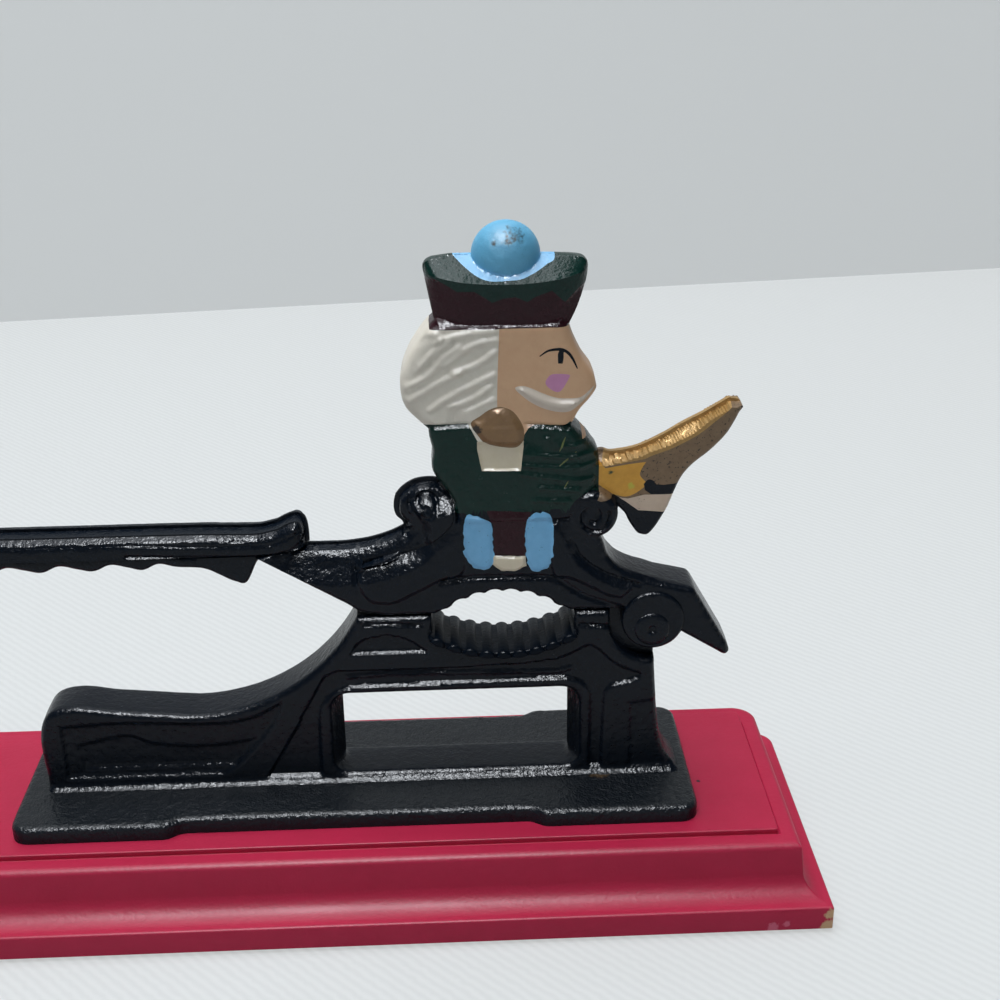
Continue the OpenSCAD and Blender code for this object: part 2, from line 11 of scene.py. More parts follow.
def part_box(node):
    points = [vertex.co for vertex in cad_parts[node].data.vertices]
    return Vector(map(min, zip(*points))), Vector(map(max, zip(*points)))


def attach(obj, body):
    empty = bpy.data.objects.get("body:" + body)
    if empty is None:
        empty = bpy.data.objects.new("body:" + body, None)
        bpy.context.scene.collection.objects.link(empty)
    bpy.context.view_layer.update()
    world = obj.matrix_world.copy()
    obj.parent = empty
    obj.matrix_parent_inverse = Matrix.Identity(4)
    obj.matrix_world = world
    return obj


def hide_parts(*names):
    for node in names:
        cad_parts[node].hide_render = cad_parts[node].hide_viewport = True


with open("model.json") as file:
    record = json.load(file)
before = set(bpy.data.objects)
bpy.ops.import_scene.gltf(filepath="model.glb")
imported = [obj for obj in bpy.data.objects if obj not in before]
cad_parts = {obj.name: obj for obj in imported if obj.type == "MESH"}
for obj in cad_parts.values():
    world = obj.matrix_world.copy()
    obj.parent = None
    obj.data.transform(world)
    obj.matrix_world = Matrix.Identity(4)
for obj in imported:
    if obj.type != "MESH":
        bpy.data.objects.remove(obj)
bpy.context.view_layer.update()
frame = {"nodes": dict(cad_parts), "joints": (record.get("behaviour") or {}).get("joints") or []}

# ---- Camera ----
# A phone held about 0.36 m in front of the press and a little above it, looking down at the castings.
# Its place and lens were worked out from the edges of the plinth and of the iron flange.
MM = 0.001
CAMERA_PLACE = (23.1, -294.4, 218.6)
CAMERA_PITCH, CAMERA_YAW, CAMERA_ROLL = math.radians(23.63), math.radians(1.98), math.radians(-0.84)
SENSOR_MM, LENS_MM = 36, 54


def linked(name, data):
    """A new object with this data, in the scene."""
    obj = bpy.data.objects.new(name, data)
    bpy.context.scene.collection.objects.link(obj)
    return obj


lens = bpy.data.cameras.new("camera")
lens.sensor_width = SENSOR_MM
lens.lens = LENS_MM
camera = linked("camera", lens)
ahead = Vector((math.sin(CAMERA_YAW) * math.cos(CAMERA_PITCH),
                math.cos(CAMERA_YAW) * math.cos(CAMERA_PITCH), -math.sin(CAMERA_PITCH)))
level = Vector((math.cos(CAMERA_YAW), -math.sin(CAMERA_YAW), 0))
over = level.cross(ahead)
right = math.cos(CAMERA_ROLL) * level + math.sin(CAMERA_ROLL) * over
upward = math.cos(CAMERA_ROLL) * over - math.sin(CAMERA_ROLL) * level
camera.matrix_world = Matrix((right, upward, -ahead)).transposed().to_4x4()
camera.location = Vector(CAMERA_PLACE) * MM
bpy.context.scene.camera = camera
bpy.context.scene.view_settings.view_transform = "Standard"


# ---- Cloth, wall and light ----
# A white twill table cloth in front of a pale wall, under a soft ceiling light and one small window of light.
# Cloth and wall don't belong to the press: they are there for its shadow and its reflections.
# The glint is the same window as the gloss paints mirror it: it adds sparkle and no light of its own.
CLOTH, CLOTH_SEEN, WALL, WALL_SEEN = "#BFC3C4", "#F1F4F4", "#C9CDCE", "#D0D4D5"
TABLE, WALL_H = 1.6, 1.2
WALL_LEFT, WALL_RIGHT = (-0.2034, 0.4477), (0.3292, 0.5050)
TWILL, WEAVE_SEEN = 0.8, "#E9ECEC"
ROOM, ROOM_LIGHT = "#E4EAF0", 0.10


def linear(code):
    """The linear RGBA of an sRGB hex colour."""
    parts = [int(code[i:i + 2], 16) / 255 for i in (1, 3, 5)]
    return tuple(c / 12.92 if c < 0.04045 else ((c + 0.055) / 1.055) ** 2.4 for c in parts) + (1.0,)


def add(tree, kind, links=None, **settings):
    """Adds a node to the tree; links gives its inputs, as sockets or as values."""
    node = tree.nodes.new(kind)
    for key, value in settings.items():
        setattr(node, key, value)
    for key, value in (links or {}).items():
        if isinstance(value, bpy.types.NodeSocket):
            tree.links.new(value, node.inputs[key])
        else:
            node.inputs[key].default_value = value
    return node


def backdrop_material(name, colour, seen, share, weave_mm=0.0):
    """A matt surface. The camera and reflections see part of it at its own colour, so that it stays pale."""
    made = bpy.data.materials.new(name)
    made.use_nodes = True
    tree = made.node_tree
    tree.nodes.clear()
    matt = add(tree, "ShaderNodeBsdfDiffuse", {"Color": linear(colour)})
    lit = add(tree, "ShaderNodeEmission", {"Color": linear(seen), "Strength": 1.0})
    if weave_mm:
        place = add(tree, "ShaderNodeTexCoord").outputs["Object"]
        twill = add(tree, "ShaderNodeTexWave", {"Vector": place, "Scale": 1000 / weave_mm / 6.28,
            "Distortion": 1.5, "Detail": 1.0, "Detail Scale": 2.0}, bands_direction="DIAGONAL")
        crease = add(tree, "ShaderNodeTexNoise", {"Vector": place, "Scale": 14.0, "Detail": 2.0})
        height = add(tree, "ShaderNodeMath", {0: crease.outputs["Fac"], 1: 40.0, 2: twill.outputs["Fac"]},
                     operation="MULTIPLY_ADD")
        raised = add(tree, "ShaderNodeBump", {"Height": height.outputs[0], "Distance": 0.05 * MM,
            "Strength": 0.7})
        tree.links.new(raised.outputs[0], matt.inputs["Normal"])
        woven = add(tree, "ShaderNodeMix", {0: twill.outputs["Fac"], 6: linear(seen), 7: linear(WEAVE_SEEN)},
                    data_type="RGBA")
        tree.links.new(woven.outputs[2], lit.inputs["Color"])
    ray = add(tree, "ShaderNodeLightPath").outputs
    direct = ray["Is Camera Ray"]
    for kind in ("Is Glossy Ray", "Is Transmission Ray"):
        direct = add(tree, "ShaderNodeMath", {0: direct, 1: ray[kind]}, operation="MAXIMUM").outputs[0]
    part = add(tree, "ShaderNodeMath", {0: direct, 1: share}, operation="MULTIPLY")
    mixed = add(tree, "ShaderNodeMixShader", {0: part.outputs[0], 1: matt.outputs[0], 2: lit.outputs[0]})
    add(tree, "ShaderNodeOutputMaterial", {0: mixed.outputs[0]})
    return made


def plain_mesh(name, points, faces, materials):
    """An object at the origin with this mesh."""
    mesh = bpy.data.meshes.new(name)
    mesh.from_pydata([tuple(p) for p in points], [], [tuple(f) for f in faces])
    for made in materials:
        mesh.materials.append(made)
    return linked(name, mesh)


# Bleached cotton twill: matt, with a fine diagonal rib, drawn coarser than the real one so that it shows
cloth_material = backdrop_material("cotton_twill_cloth", CLOTH, CLOTH_SEEN, 0.6, TWILL)
# Emulsion paint on plaster: matt and even
wall_material = backdrop_material("emulsion_wall_paint", WALL, WALL_SEEN, 0.7)
along_wall = Vector(WALL_RIGHT) - Vector(WALL_LEFT)
along_wall.normalize()
left_foot = Vector(WALL_LEFT) - along_wall * TABLE
right_foot = Vector(WALL_RIGHT) + along_wall * TABLE
cloth = plain_mesh("cloth", [(left_foot.x, -TABLE, 0), (right_foot.x, -TABLE, 0), (*right_foot, 0),
    (*left_foot, 0)], [(0, 1, 2, 3)], [cloth_material])
wall = plain_mesh("wall", [(*left_foot, 0), (*right_foot, 0), (*right_foot, WALL_H), (*left_foot, WALL_H)],
                  [(0, 1, 2, 3)], [wall_material])

LAMPS = (
    ("ceiling_light", (-0.15, 0.12, 1.05), (0.02, 0.05, 0.0), 1.1, 0.7, 15.5, "#F6FAFF", True),
    ("window_light", (-0.05, -0.44, 0.70), (0.03, 0.0, 0.08), 0.15, 0.15, 0.9, "#F2F7FF", True),
    ("window_glint", (-0.06, -0.43, 0.70), (0.03, 0.0, 0.08), 0.20, 0.20, 15.0, "#F6FAFF", False),
)
for lamp_name, place, target, width, depth, power, colour, soft in LAMPS:
    light = bpy.data.lights.new(lamp_name, "AREA")
    light.shape = "RECTANGLE"
    light.size, light.size_y = width, depth
    light.energy = power
    light.color = linear(colour)[:3]
    lamp = linked(lamp_name, light)
    lamp.location = place
    lamp.visible_diffuse = soft
    lamp.rotation_euler = (Vector(target) - Vector(place)).to_track_quat("-Z", "Y").to_euler()

world = bpy.data.worlds.new("room")
world.use_nodes = True
world.node_tree.nodes["Background"].inputs["Color"].default_value = linear(ROOM)
world.node_tree.nodes["Background"].inputs["Strength"].default_value = ROOM_LIGHT
bpy.context.scene.world = world


# ---- Plinth ----
# One piece of moulded hardwood board, sanded and sprayed with satin crimson paint.
# Its rear corners are sanded round. The front corners are crisp, and one is chipped to bare wood.
CRIMSON, CRIMSON_DEEP, BARE_WOOD = "#B81D44", "#AA173B", "#C9A27C"
SCUFF, SPECK = "#CC6078", "#3A1420"
MOULD_RUN, LIP, LIP_NOSE, LEAN, LEDGE_W, FIELD_RISE, LEDGE_NOSE = 6.3, 5.2, 0.6, 0.5, 4.5, 1.1, 1.6
FRONT_CORNER, REAR_CORNER, FIELD_CORNER = 0.35, 5.0, 1.5
WASHER_HOLE, HOLE_DEPTH, HOLE_SIDES = 4.85, 7.0, 36


def painted(name, colour, other, roughness, grain_mm, bump_mm, metallic=0.0, level=0.5, patches=(),
        speckle=None, mottle_mm=3.0, dust_and_sheen=None, gloss_range=0.1):
    """Paint over a grainy ground: two mottled tones, a fine bump, and worn patches of another colour.

    patches are (colour, centre in metres, radius in metres, how ragged in metres);
    speckle is (colour, grain in mm, threshold); the tone for surfaces that face up is (colour, amount there):
    a film of dust and a painted sheen.
    """
    made = bpy.data.materials.new(name)
    made.use_nodes = True
    tree = made.node_tree
    shader = tree.nodes["Principled BSDF"]
    place = add(tree, "ShaderNodeTexCoord").outputs["Object"]
    mottle = add(tree, "ShaderNodeTexNoise", {"Vector": place, "Scale": 1000 / mottle_mm, "Detail": 3.0,
                                              "Roughness": 0.6})
    tone = add(tree, "ShaderNodeMix", {0: mottle.outputs["Fac"], 6: linear(colour), 7: linear(other)},
               data_type="RGBA")
    shade = tone.outputs[2]
    fine = add(tree, "ShaderNodeTexNoise", {"Vector": place, "Scale": 1000 / grain_mm, "Detail": 2.0,
                                            "Roughness": 0.55})
    broad = add(tree, "ShaderNodeTexNoise", {"Vector": place, "Scale": 400 / grain_mm, "Detail": 1.0})
    # Surfaces that face up are mixed towards a lighter tone: partly a film of dust, partly a painted sheen
    if dust_and_sheen:
        up = add(tree, "ShaderNodeSeparateXYZ",
            {0: add(tree, "ShaderNodeNewGeometry").outputs["Normal"]}).outputs[2]
        facing = add(tree, "ShaderNodeMapRange", {"Value": up, "From Min": 0.55, "From Max": 0.98,
                                                  "To Max": dust_and_sheen[1]})
        dust_and_sheen_mix = add(tree, "ShaderNodeMix", {0: facing.outputs[0], 6: shade, 7: linear(dust_and_sheen[0])},
            data_type="RGBA")
        shade = dust_and_sheen_mix.outputs[2]
    if speckle:
        spots = add(tree, "ShaderNodeTexNoise", {"Vector": place, "Scale": 1000 / speckle[1], "Detail": 3.0,
                                                 "Roughness": 0.7})
        sharp = add(tree, "ShaderNodeMapRange", {"Value": spots.outputs["Fac"], "From Min": speckle[2],
                                                 "From Max": speckle[2] + 0.03})
        shade = add(tree, "ShaderNodeMix", {0: sharp.outputs[0], 6: shade, 7: linear(speckle[0])},
                    data_type="RGBA").outputs[2]
    for patch_colour, centre, radius, ragged in patches:
        away = add(tree, "ShaderNodeVectorMath", {0: place, 1: tuple(centre)},
            operation="DISTANCE").outputs["Value"]
        edge = add(tree, "ShaderNodeMath", {0: fine.outputs["Fac"], 1: ragged, 2: away},
            operation="MULTIPLY_ADD")
        wobble = add(tree, "ShaderNodeMath", {0: broad.outputs["Fac"], 1: ragged * 2, 2: edge.outputs[0]},
                     operation="MULTIPLY_ADD")
        cover = add(tree, "ShaderNodeMapRange", {"Value": wobble.outputs[0],
            "From Min": radius + ragged * 1.2, "From Max": radius + ragged * 1.8, "To Min": 1.0,
            "To Max": 0.0})
        shade = add(tree, "ShaderNodeMix", {0: cover.outputs[0], 6: shade, 7: linear(patch_colour)},
                    data_type="RGBA").outputs[2]
    tree.links.new(shade, shader.inputs["Base Color"])
    rough = add(tree, "ShaderNodeMapRange", {"Value": mottle.outputs["Fac"],
        "To Min": roughness - gloss_range, "To Max": roughness + gloss_range})
    tree.links.new(rough.outputs[0], shader.inputs["Roughness"])
    shader.inputs["Metallic"].default_value = metallic
    shader.inputs["Specular IOR Level"].default_value = level
    first = add(tree, "ShaderNodeBump", {"Height": broad.outputs["Fac"], "Distance": bump_mm * 1.6 * MM,
                                         "Strength": 0.8})
    last = add(tree, "ShaderNodeBump", {"Height": fine.outputs["Fac"], "Distance": bump_mm * MM,
        "Strength": 1.0, "Normal": first.outputs[0]})
    tree.links.new(last.outputs[0], shader.inputs["Normal"])
    return made


def finish_node(name, made):
    """Gives a CAD node this material."""
    slots = frame["nodes"][name].data.materials
    slots.clear()
    slots.append(made)


def arc(centre, radius, start, end, count=16):
    """Points along an arc, angles in degrees."""
    turn = np.radians(np.linspace(start, end, count + 1))
    return np.column_stack([centre[0] + radius * np.cos(turn), centre[1] + radius * np.sin(turn)])


def joined(*pieces):
    """One list of points from several."""
    return np.vstack([np.atleast_2d(np.asarray(p, float)) for p in pieces])


def ring_edges(first, count):
    """Edges of a closed ring of points."""
    return [(first + i, first + (i + 1) % count) for i in range(count)]


def tube(rings, around, first=0):
    """Faces between rings of points that follow one another."""
    return [(a, b, b + around, a + around) for k in range(rings - 1)
            for a, b in ring_edges(first + k * around, around)]


def smooth_shade(obj, angle=38):
    """Merges doubles, turns faces outwards and shades smooth up to an angle."""
    mesh = bmesh.new()
    mesh.from_mesh(obj.data)
    bmesh.ops.remove_doubles(mesh, verts=mesh.verts, dist=2e-6)
    bmesh.ops.dissolve_degenerate(mesh, edges=mesh.edges, dist=1e-6)
    bmesh.ops.recalc_face_normals(mesh, faces=mesh.faces)
    mesh.to_mesh(obj.data)
    mesh.free()
    obj.data.shade_smooth()
    obj.data.set_sharp_from_angle(angle=math.radians(angle))


plinth_low, plinth_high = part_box("plinth")
PLINTH_L, PLINTH_W, PLINTH_H = (plinth_high[i] / MM - plinth_low[i] / MM for i in range(3))
PAD = plinth_low[2] / MM
COVE = MOULD_RUN - LIP_NOSE - LEAN
LEDGE_H = PLINTH_H - FIELD_RISE
FIELD_EDGE = MOULD_RUN + LEDGE_W
# The moulding's section as (distance in from the foot, height), from the underside to the field
section = joined([(0.25, 0), (0, 0.25), (0, LIP * 0.5)],
                 arc((LIP_NOSE, LIP), LIP_NOSE, 180, 90, 6),
                 arc((LIP_NOSE, LIP + LIP_NOSE + COVE), COVE, 278, 360, 18),
                 arc((MOULD_RUN + LEDGE_NOSE, LEDGE_H - LEDGE_NOSE), LEDGE_NOSE, 180, 90, 10),
                 [(FIELD_EDGE - 0.6, LEDGE_H), (FIELD_EDGE - 0.25, LEDGE_H - 0.3),
                  (FIELD_EDGE, LEDGE_H - 0.2)],
                 arc((FIELD_EDGE + 0.3, PLINTH_H - 0.3), 0.3, 180, 90, 4))
rings = []
for inset, height in section:
    half_x, half_y = PLINTH_L / 2 - inset, PLINTH_W / 2 - inset
    inner = inset > FIELD_EDGE - 0.2
    ring = []
    for sx, sy, start in ((1, -1, -90), (1, 1, 0), (-1, 1, 90), (-1, -1, 180)):
        r = FRONT_CORNER if sy < 0 else (FIELD_CORNER if inner else REAR_CORNER)
        ring.append(arc((sx * (half_x - r), sy * (half_y - r)), r, start, start + 90, 10))
    ring = joined(*ring)
    rings.append(np.column_stack([ring, np.full(len(ring), height + PAD)]))
around = len(rings[0])
points = list(np.vstack(rings))
faces = tube(len(rings), around)
faces.append(tuple(range((len(rings) - 1) * around, len(rings) * around)))
# Underside with the three counterbores for the screws
underside = [Vector(p[:2]) for p in rings[0]]
outline_edges = ring_edges(0, around)
bores = [((low[0] + high[0]) / 2 / MM, (low[1] + high[1]) / 2 / MM)
         for low, high in (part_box("screw_" + p) for p in ("left", "middle", "right"))]
holes = [arc(bore, WASHER_HOLE, 0, 350, HOLE_SIDES - 1) for bore in bores]
for hole in holes:
    outline_edges += ring_edges(len(underside), HOLE_SIDES)
    underside += [Vector(p) for p in hole]
verts, _, triangles, _, _, _ = delaunay_2d_cdt(underside, outline_edges, [], 0, 1e-5)
base = len(points)
points += [(v.x, v.y, PAD) for v in verts]
for t in triangles:
    middle = sum((verts[i] for i in t), Vector((0, 0))) / len(t)
    if all((middle - Vector(bore)).length > WASHER_HOLE * 0.99 for bore in bores):
        faces.append(tuple(base + i for i in t))
for hole in holes:
    base = len(points)
    for height in (PAD, PAD + HOLE_DEPTH):
        points += [(x, y, height) for x, y in hole]
    faces += tube(2, HOLE_SIDES, base)
    faces.append(tuple(range(base + HOLE_SIDES, base + 2 * HOLE_SIDES)))

# Satin spray paint on sanded wood: an even crimson with a soft sheen and no grain to be seen
wear = ((SCUFF, (0.0901, -0.0352, 0.0017), 0.0012, 0.0009),
        (SCUFF, (0.0931, -0.0352, 0.0026), 0.0008, 0.0008),
        (SPECK, (0.0779, -0.0052, 0.0198), 0.0004, 0.0003),
        (BARE_WOOD, (plinth_high[0] - 0.0004, plinth_low[1] + 0.0004, 0.0048), 0.0014, 0.0012),
        (BARE_WOOD, (plinth_high[0] - 0.0008, plinth_low[1] + 0.0008, 0.0012), 0.0020, 0.0014))
satin_paint = painted("satin_paint_on_hardwood", CRIMSON, CRIMSON_DEEP, 0.46, 0.5, 0.035, mottle_mm=9.0,
                      gloss_range=0.05, level=0.22, patches=wear)
plinth = plain_mesh("plinth_painted", np.array(points) * MM, faces, [satin_paint])
smooth_shade(plinth, 30)
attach(plinth, "base")
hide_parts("plinth")


# ---- Pads, screws and washers ----
# Felt discs glued under the corners, and zinc-plated pan-head screws with washers, sunk in the plinth.
# None of them shows from above.

# Pressed wool felt: matt, with a fuzzy, uneven green
felt = painted("wool_felt", "#1B3A2B", "#244A38", 0.9, 0.25, 0.12, gloss_range=0.05)
# Zinc plating: a pale, slightly blurred metal
zinc = painted("zinc_plated_steel", "#B9BBB6", "#A3A6A4", 0.32, 0.4, 0.01, metallic=1.0)
for corner_name in ("front_left", "front_right", "rear_left", "rear_right"):
    finish_node("pad_" + corner_name, felt)
for place_name in ("left", "middle", "right"):
    finish_node("screw_" + place_name, zinc)
    finish_node("washer_" + place_name, zinc)


# ---- Frame casting ----
# Sand-cast iron, fettled and brushed with thick gloss black: foot flange, low arm, leg, post and beam in one.
# Both faces carry sunk fields, and the lower jaw has rounded ribs across a dish.
# The two-part mould leaves every form as a height over the middle plane, so the faces are made that way.
DECK = plinth_high[2] / MM
pivot = frame["joints"][0]["pos_m"]
PIN = np.array([pivot[0] / MM, pivot[2] / MM - DECK])
JAW = PIN + (-32.6, 4.5)
WEB = 5.65
SLOT_RADIUS, SLOT_GAP = 10.0, 2.75
WEB_RIM, CUT_RIM, MESH_STEP = 1.5, 1.2, 0.5
SKIN = (1.4, 0.07)
BLACK, BLACK_BLUE = "#060D15", "#0A131E"


def smooth(points, count=6, loop=False):
    """A smooth curve through the points, open or closed."""
    p = np.asarray(points, float)
    last = len(p) - 1
    curve = []
    for i in range(len(p) if loop else last):
        near = [(i + k) % len(p) if loop else min(max(i + k, 0), last) for k in (-1, 0, 1, 2)]
        a, b, c, d = p[near]
        for t in np.arange(count) / count:
            curve.append(0.5 * (2 * b + (c - a) * t + (2 * a - 5 * b + 4 * c - d) * t ** 2
                                + (3 * b - a - 3 * c + d) * t ** 3))
    if not loop:
        curve.append(p[-1])
    return np.array(curve)


def spread(line, step, loop=True):
    """The line with points about a step apart; its corners stay where they are."""
    p = np.asarray(line, float)
    keep = [np.linalg.norm(p[i] - p[i - 1]) > 1e-6 for i in range(len(p))]
    p = p[keep] if loop else p
    ahead_of = np.roll(p, -1, 0) - p
    before = p - np.roll(p, 1, 0)
    turn = np.abs(np.arctan2(before[:, 0] * ahead_of[:, 1] - before[:, 1] * ahead_of[:, 0],
                             (before * ahead_of).sum(1)))
    corners = [i for i in range(len(p)) if turn[i] > 0.4 or (not loop and i in (0, len(p) - 1))]
    if not corners:
        corners = [0]
    if loop:
        p = np.roll(p, -corners[0], 0)
        corners = [(c - corners[0]) for c in corners] + [len(p)]
        p = np.vstack([p, p[:1]])
    out = []
    for first, second in zip(corners[:-1], corners[1:]):
        run = p[first:second + 1]
        along = np.concatenate([[0], np.cumsum(np.linalg.norm(np.diff(run, axis=0), axis=1))])
        count = max(1, int(round(along[-1] / step)))
        at = np.linspace(0, along[-1], count + 1)[:-1]
        out.append(np.column_stack([np.interp(at, along, run[:, 0]), np.interp(at, along, run[:, 1])]))
    if not loop:
        out.append(p[-1:])
    return np.vstack(out)


def inside(q, outline):
    """Which points of q lie inside the closed outline."""
    found = np.zeros(len(q), bool)
    for a, b in zip(outline, np.roll(outline, -1, 0)):
        if a[1] == b[1]:
            continue
        crossing = (q[:, 1] < a[1]) != (q[:, 1] < b[1])
        found ^= crossing & (q[:, 0] < a[0] + (q[:, 1] - a[1]) * (b[0] - a[0]) / (b[1] - a[1]))
    return found


def distance(q, line, loop=True, reach=6.0):
    """Distance from each point of q to the line, up to reach."""
    a = np.asarray(line, float)
    b = np.roll(a, -1, 0) if loop else a[1:]
    a = a if loop else a[:-1]
    best = np.full(len(q), reach ** 2)
    low, high = np.minimum(a.min(0), b.min(0)), np.maximum(a.max(0), b.max(0))
    close = np.all((q > low - reach) & (q < high + reach), axis=1)
    p = q[close]
    least = best[close]
    for s, e in zip(a, b):
        d = e - s
        size = d @ d
        if size < 1e-12:
            continue
        r = p - s
        t = np.clip(r @ d / size, 0, 1)
        r = r - t[:, None] * d
        least = np.minimum(least, (r * r).sum(1))
    best[close] = least
    return np.sqrt(best)


def fall(d, radius):
    """How far a rounded edge falls back at the distance d from it."""
    short = np.clip(radius - d, 0, radius)
    return radius - np.sqrt(np.maximum(radius ** 2 - short ** 2, 0))


def form(outline, rim, height, **more):
    """A part of a casting: its outline, how wide its rounded rim is, and its half thickness at any place."""
    return {"outline": outline, "rim": rim, "height": height, **more}


def slab(outline, half, rim, **more):
    """A plate of this half thickness whose edge is rounded by rim."""
    return form(outline, rim, lambda q, d: half - fall(d, rim), **more)


def panel(outline, lift, edge):
    """A field with soft edges that stands proud by lift, or is sunk if lift is negative."""
    def height(q):
        within = inside(q, outline)
        ramp = np.where(within, np.clip(distance(q, outline, reach=edge + 0.5) / edge, 0, 1), 0)
        return lift * ramp * ramp * (3 - 2 * ramp)
    return height


def bead(points, width, lift, loop=False, count=5):
    """A ridge, or a groove if lift is negative, along a smooth curve."""
    line = smooth(points, count, loop)

    def height(q):
        near = np.clip(distance(q, line, loop, reach=width) / width, 0, 1)
        return lift * (1 - near * near) ** 2
    return height


def surface_noise(points, side, size_mm, amount):
    """Uneven cast skin: a smooth random height at each point."""
    return np.array([noise.noise(Vector((x / size_mm, z / size_mm, side * 7.3))) for x, z in points]) * amount


# Mesh spacing in steps: height of a grid's row, the figure's finer grid, what stays clear of a rim, a paint's
# edge and a crease, and the cell that holds one point at most
ROW_H, FINE_STEP, RIM_CLEAR, PAINT_CLEAR, CREASE_CLEAR, CELL = 0.866, 0.75, 0.3, 0.35, 0.3, 0.22


def cast_faces(shapes, holes, paint, step, fine=None, clip=None, creases=()):
    """Triangles over the shapes less the holes; paint edges and creases stay edges of the mesh."""
    loops = [spread(s["outline"], s.get("step", step)) for s in shapes]
    loops += [spread(h, step) for h in holes] + [spread(z[1], step * 0.8) for z in paint]
    rims = [s["rim"] for s in shapes] + [CUT_RIM] * len(holes) + [0] * len(paint)
    both_sides = [False] * len(shapes) + [True] * len(holes) + [False] * len(paint)
    points, edges, rows = [], [], []
    for loop, rim, both in zip(loops, rims, both_sides):
        first = len(points)
        count = len(loop)
        points += list(loop)
        edges += ring_edges(first, count)
        if rim:
            along = np.roll(loop, -1, 0) - np.roll(loop, 1, 0)
            along /= np.maximum(np.linalg.norm(along, axis=1), 1e-9)[:, None]
            inward = np.column_stack([-along[:, 1], along[:, 0]])
            area = (loop[:, 0] * np.roll(loop[:, 1], -1) - np.roll(loop[:, 0], -1) * loop[:, 1]).sum()
            inward *= np.sign(area)
            steps = max(3, int(math.ceil(rim * math.pi / 2 / step)))
            for k in range(1, steps + 1):
                deep = rim * (1 - math.cos(math.pi / 2 * k / steps))
                for side in ((1, -1) if both else (1,)):
                    rows.append(loop + inward * deep * side)
    lines = [spread(line, step, loop=False) for line in creases]
    for line in lines:
        first = len(points)
        points += list(line)
        edges += [(first + i, first + i + 1) for i in range(len(line) - 1)]
    everything = np.array(points)
    low, high = everything.min(0), everything.max(0)

    def grid(size):
        xs = np.arange(low[0], high[0], size)
        zs = np.arange(low[1], high[1], size * ROW_H)
        gx, gz = np.meshgrid(xs, zs)
        gx[1::2] += size / 2
        return np.column_stack([gx.ravel(), gz.ravel()])

    def within(q):
        solid = np.zeros(len(q), bool)
        for s in shapes:
            solid |= inside(q, s["outline"])
        for h in holes:
            solid &= ~inside(q, h)
        return solid & clip(q) if clip else solid

    free = grid(step)
    if fine is not None:
        detailed = grid(step * FINE_STEP)
        free = np.vstack([free[~inside(free, fine)], detailed[inside(detailed, fine)]])
    free = free[within(free)]
    for loop, rim in zip(loops, rims):
        clear = rim + RIM_CLEAR * step if rim else PAINT_CLEAR * step
        free = free[distance(free, loop, reach=rim + step) > clear]
    rows = np.vstack(rows)
    rows = rows[within(rows)]
    for loop in loops:
        rows = rows[distance(rows, loop, reach=1.0) > 0.06]
    free = np.vstack([rows, free])
    for line in lines:
        free = free[distance(free, line, loop=False, reach=1.0) > CREASE_CLEAR * step]
    cell = np.round(free / (CELL * step)).astype(int)
    free = free[np.unique(cell, axis=0, return_index=True)[1]]
    everything = np.vstack([everything, free])
    verts, _, faces, _, _, _ = delaunay_2d_cdt([Vector(p) for p in everything], edges, [], 0, 1e-4)
    points = np.array([tuple(v) for v in verts])
    triangles = np.array([f for f in faces if len(f) == 3])
    triangles = triangles[within(points[triangles].mean(1))]
    used, back = np.unique(triangles, return_inverse=True)
    return points[used], back.reshape(-1, 3)


# Half thickness where no shape reaches, in mm
THINNEST = 0.3


def heights(points, shapes, reliefs):
    """Half thickness at each point: the highest of the shapes there, with the reliefs on top."""
    best = np.full(len(points), THINNEST)
    for s in shapes:
        d = distance(points, s["outline"], reach=s["rim"] + 0.5)
        there = inside(points, s["outline"]) | (d < 1e-3)
        best[there] = np.maximum(best[there], s["height"](points[there], d[there]))
    for relief in reliefs:
        best = best + relief(points)
    return best


def sides(triangles):
    """The triangle on the left of each side, and the sides that have none on their right."""
    owner = {}
    for t, (a, b, c) in enumerate(triangles):
        for side in ((a, b), (b, c), (c, a)):
            owner[side] = t
    return owner, [(side, t) for side, t in owner.items() if side[::-1] not in owner]


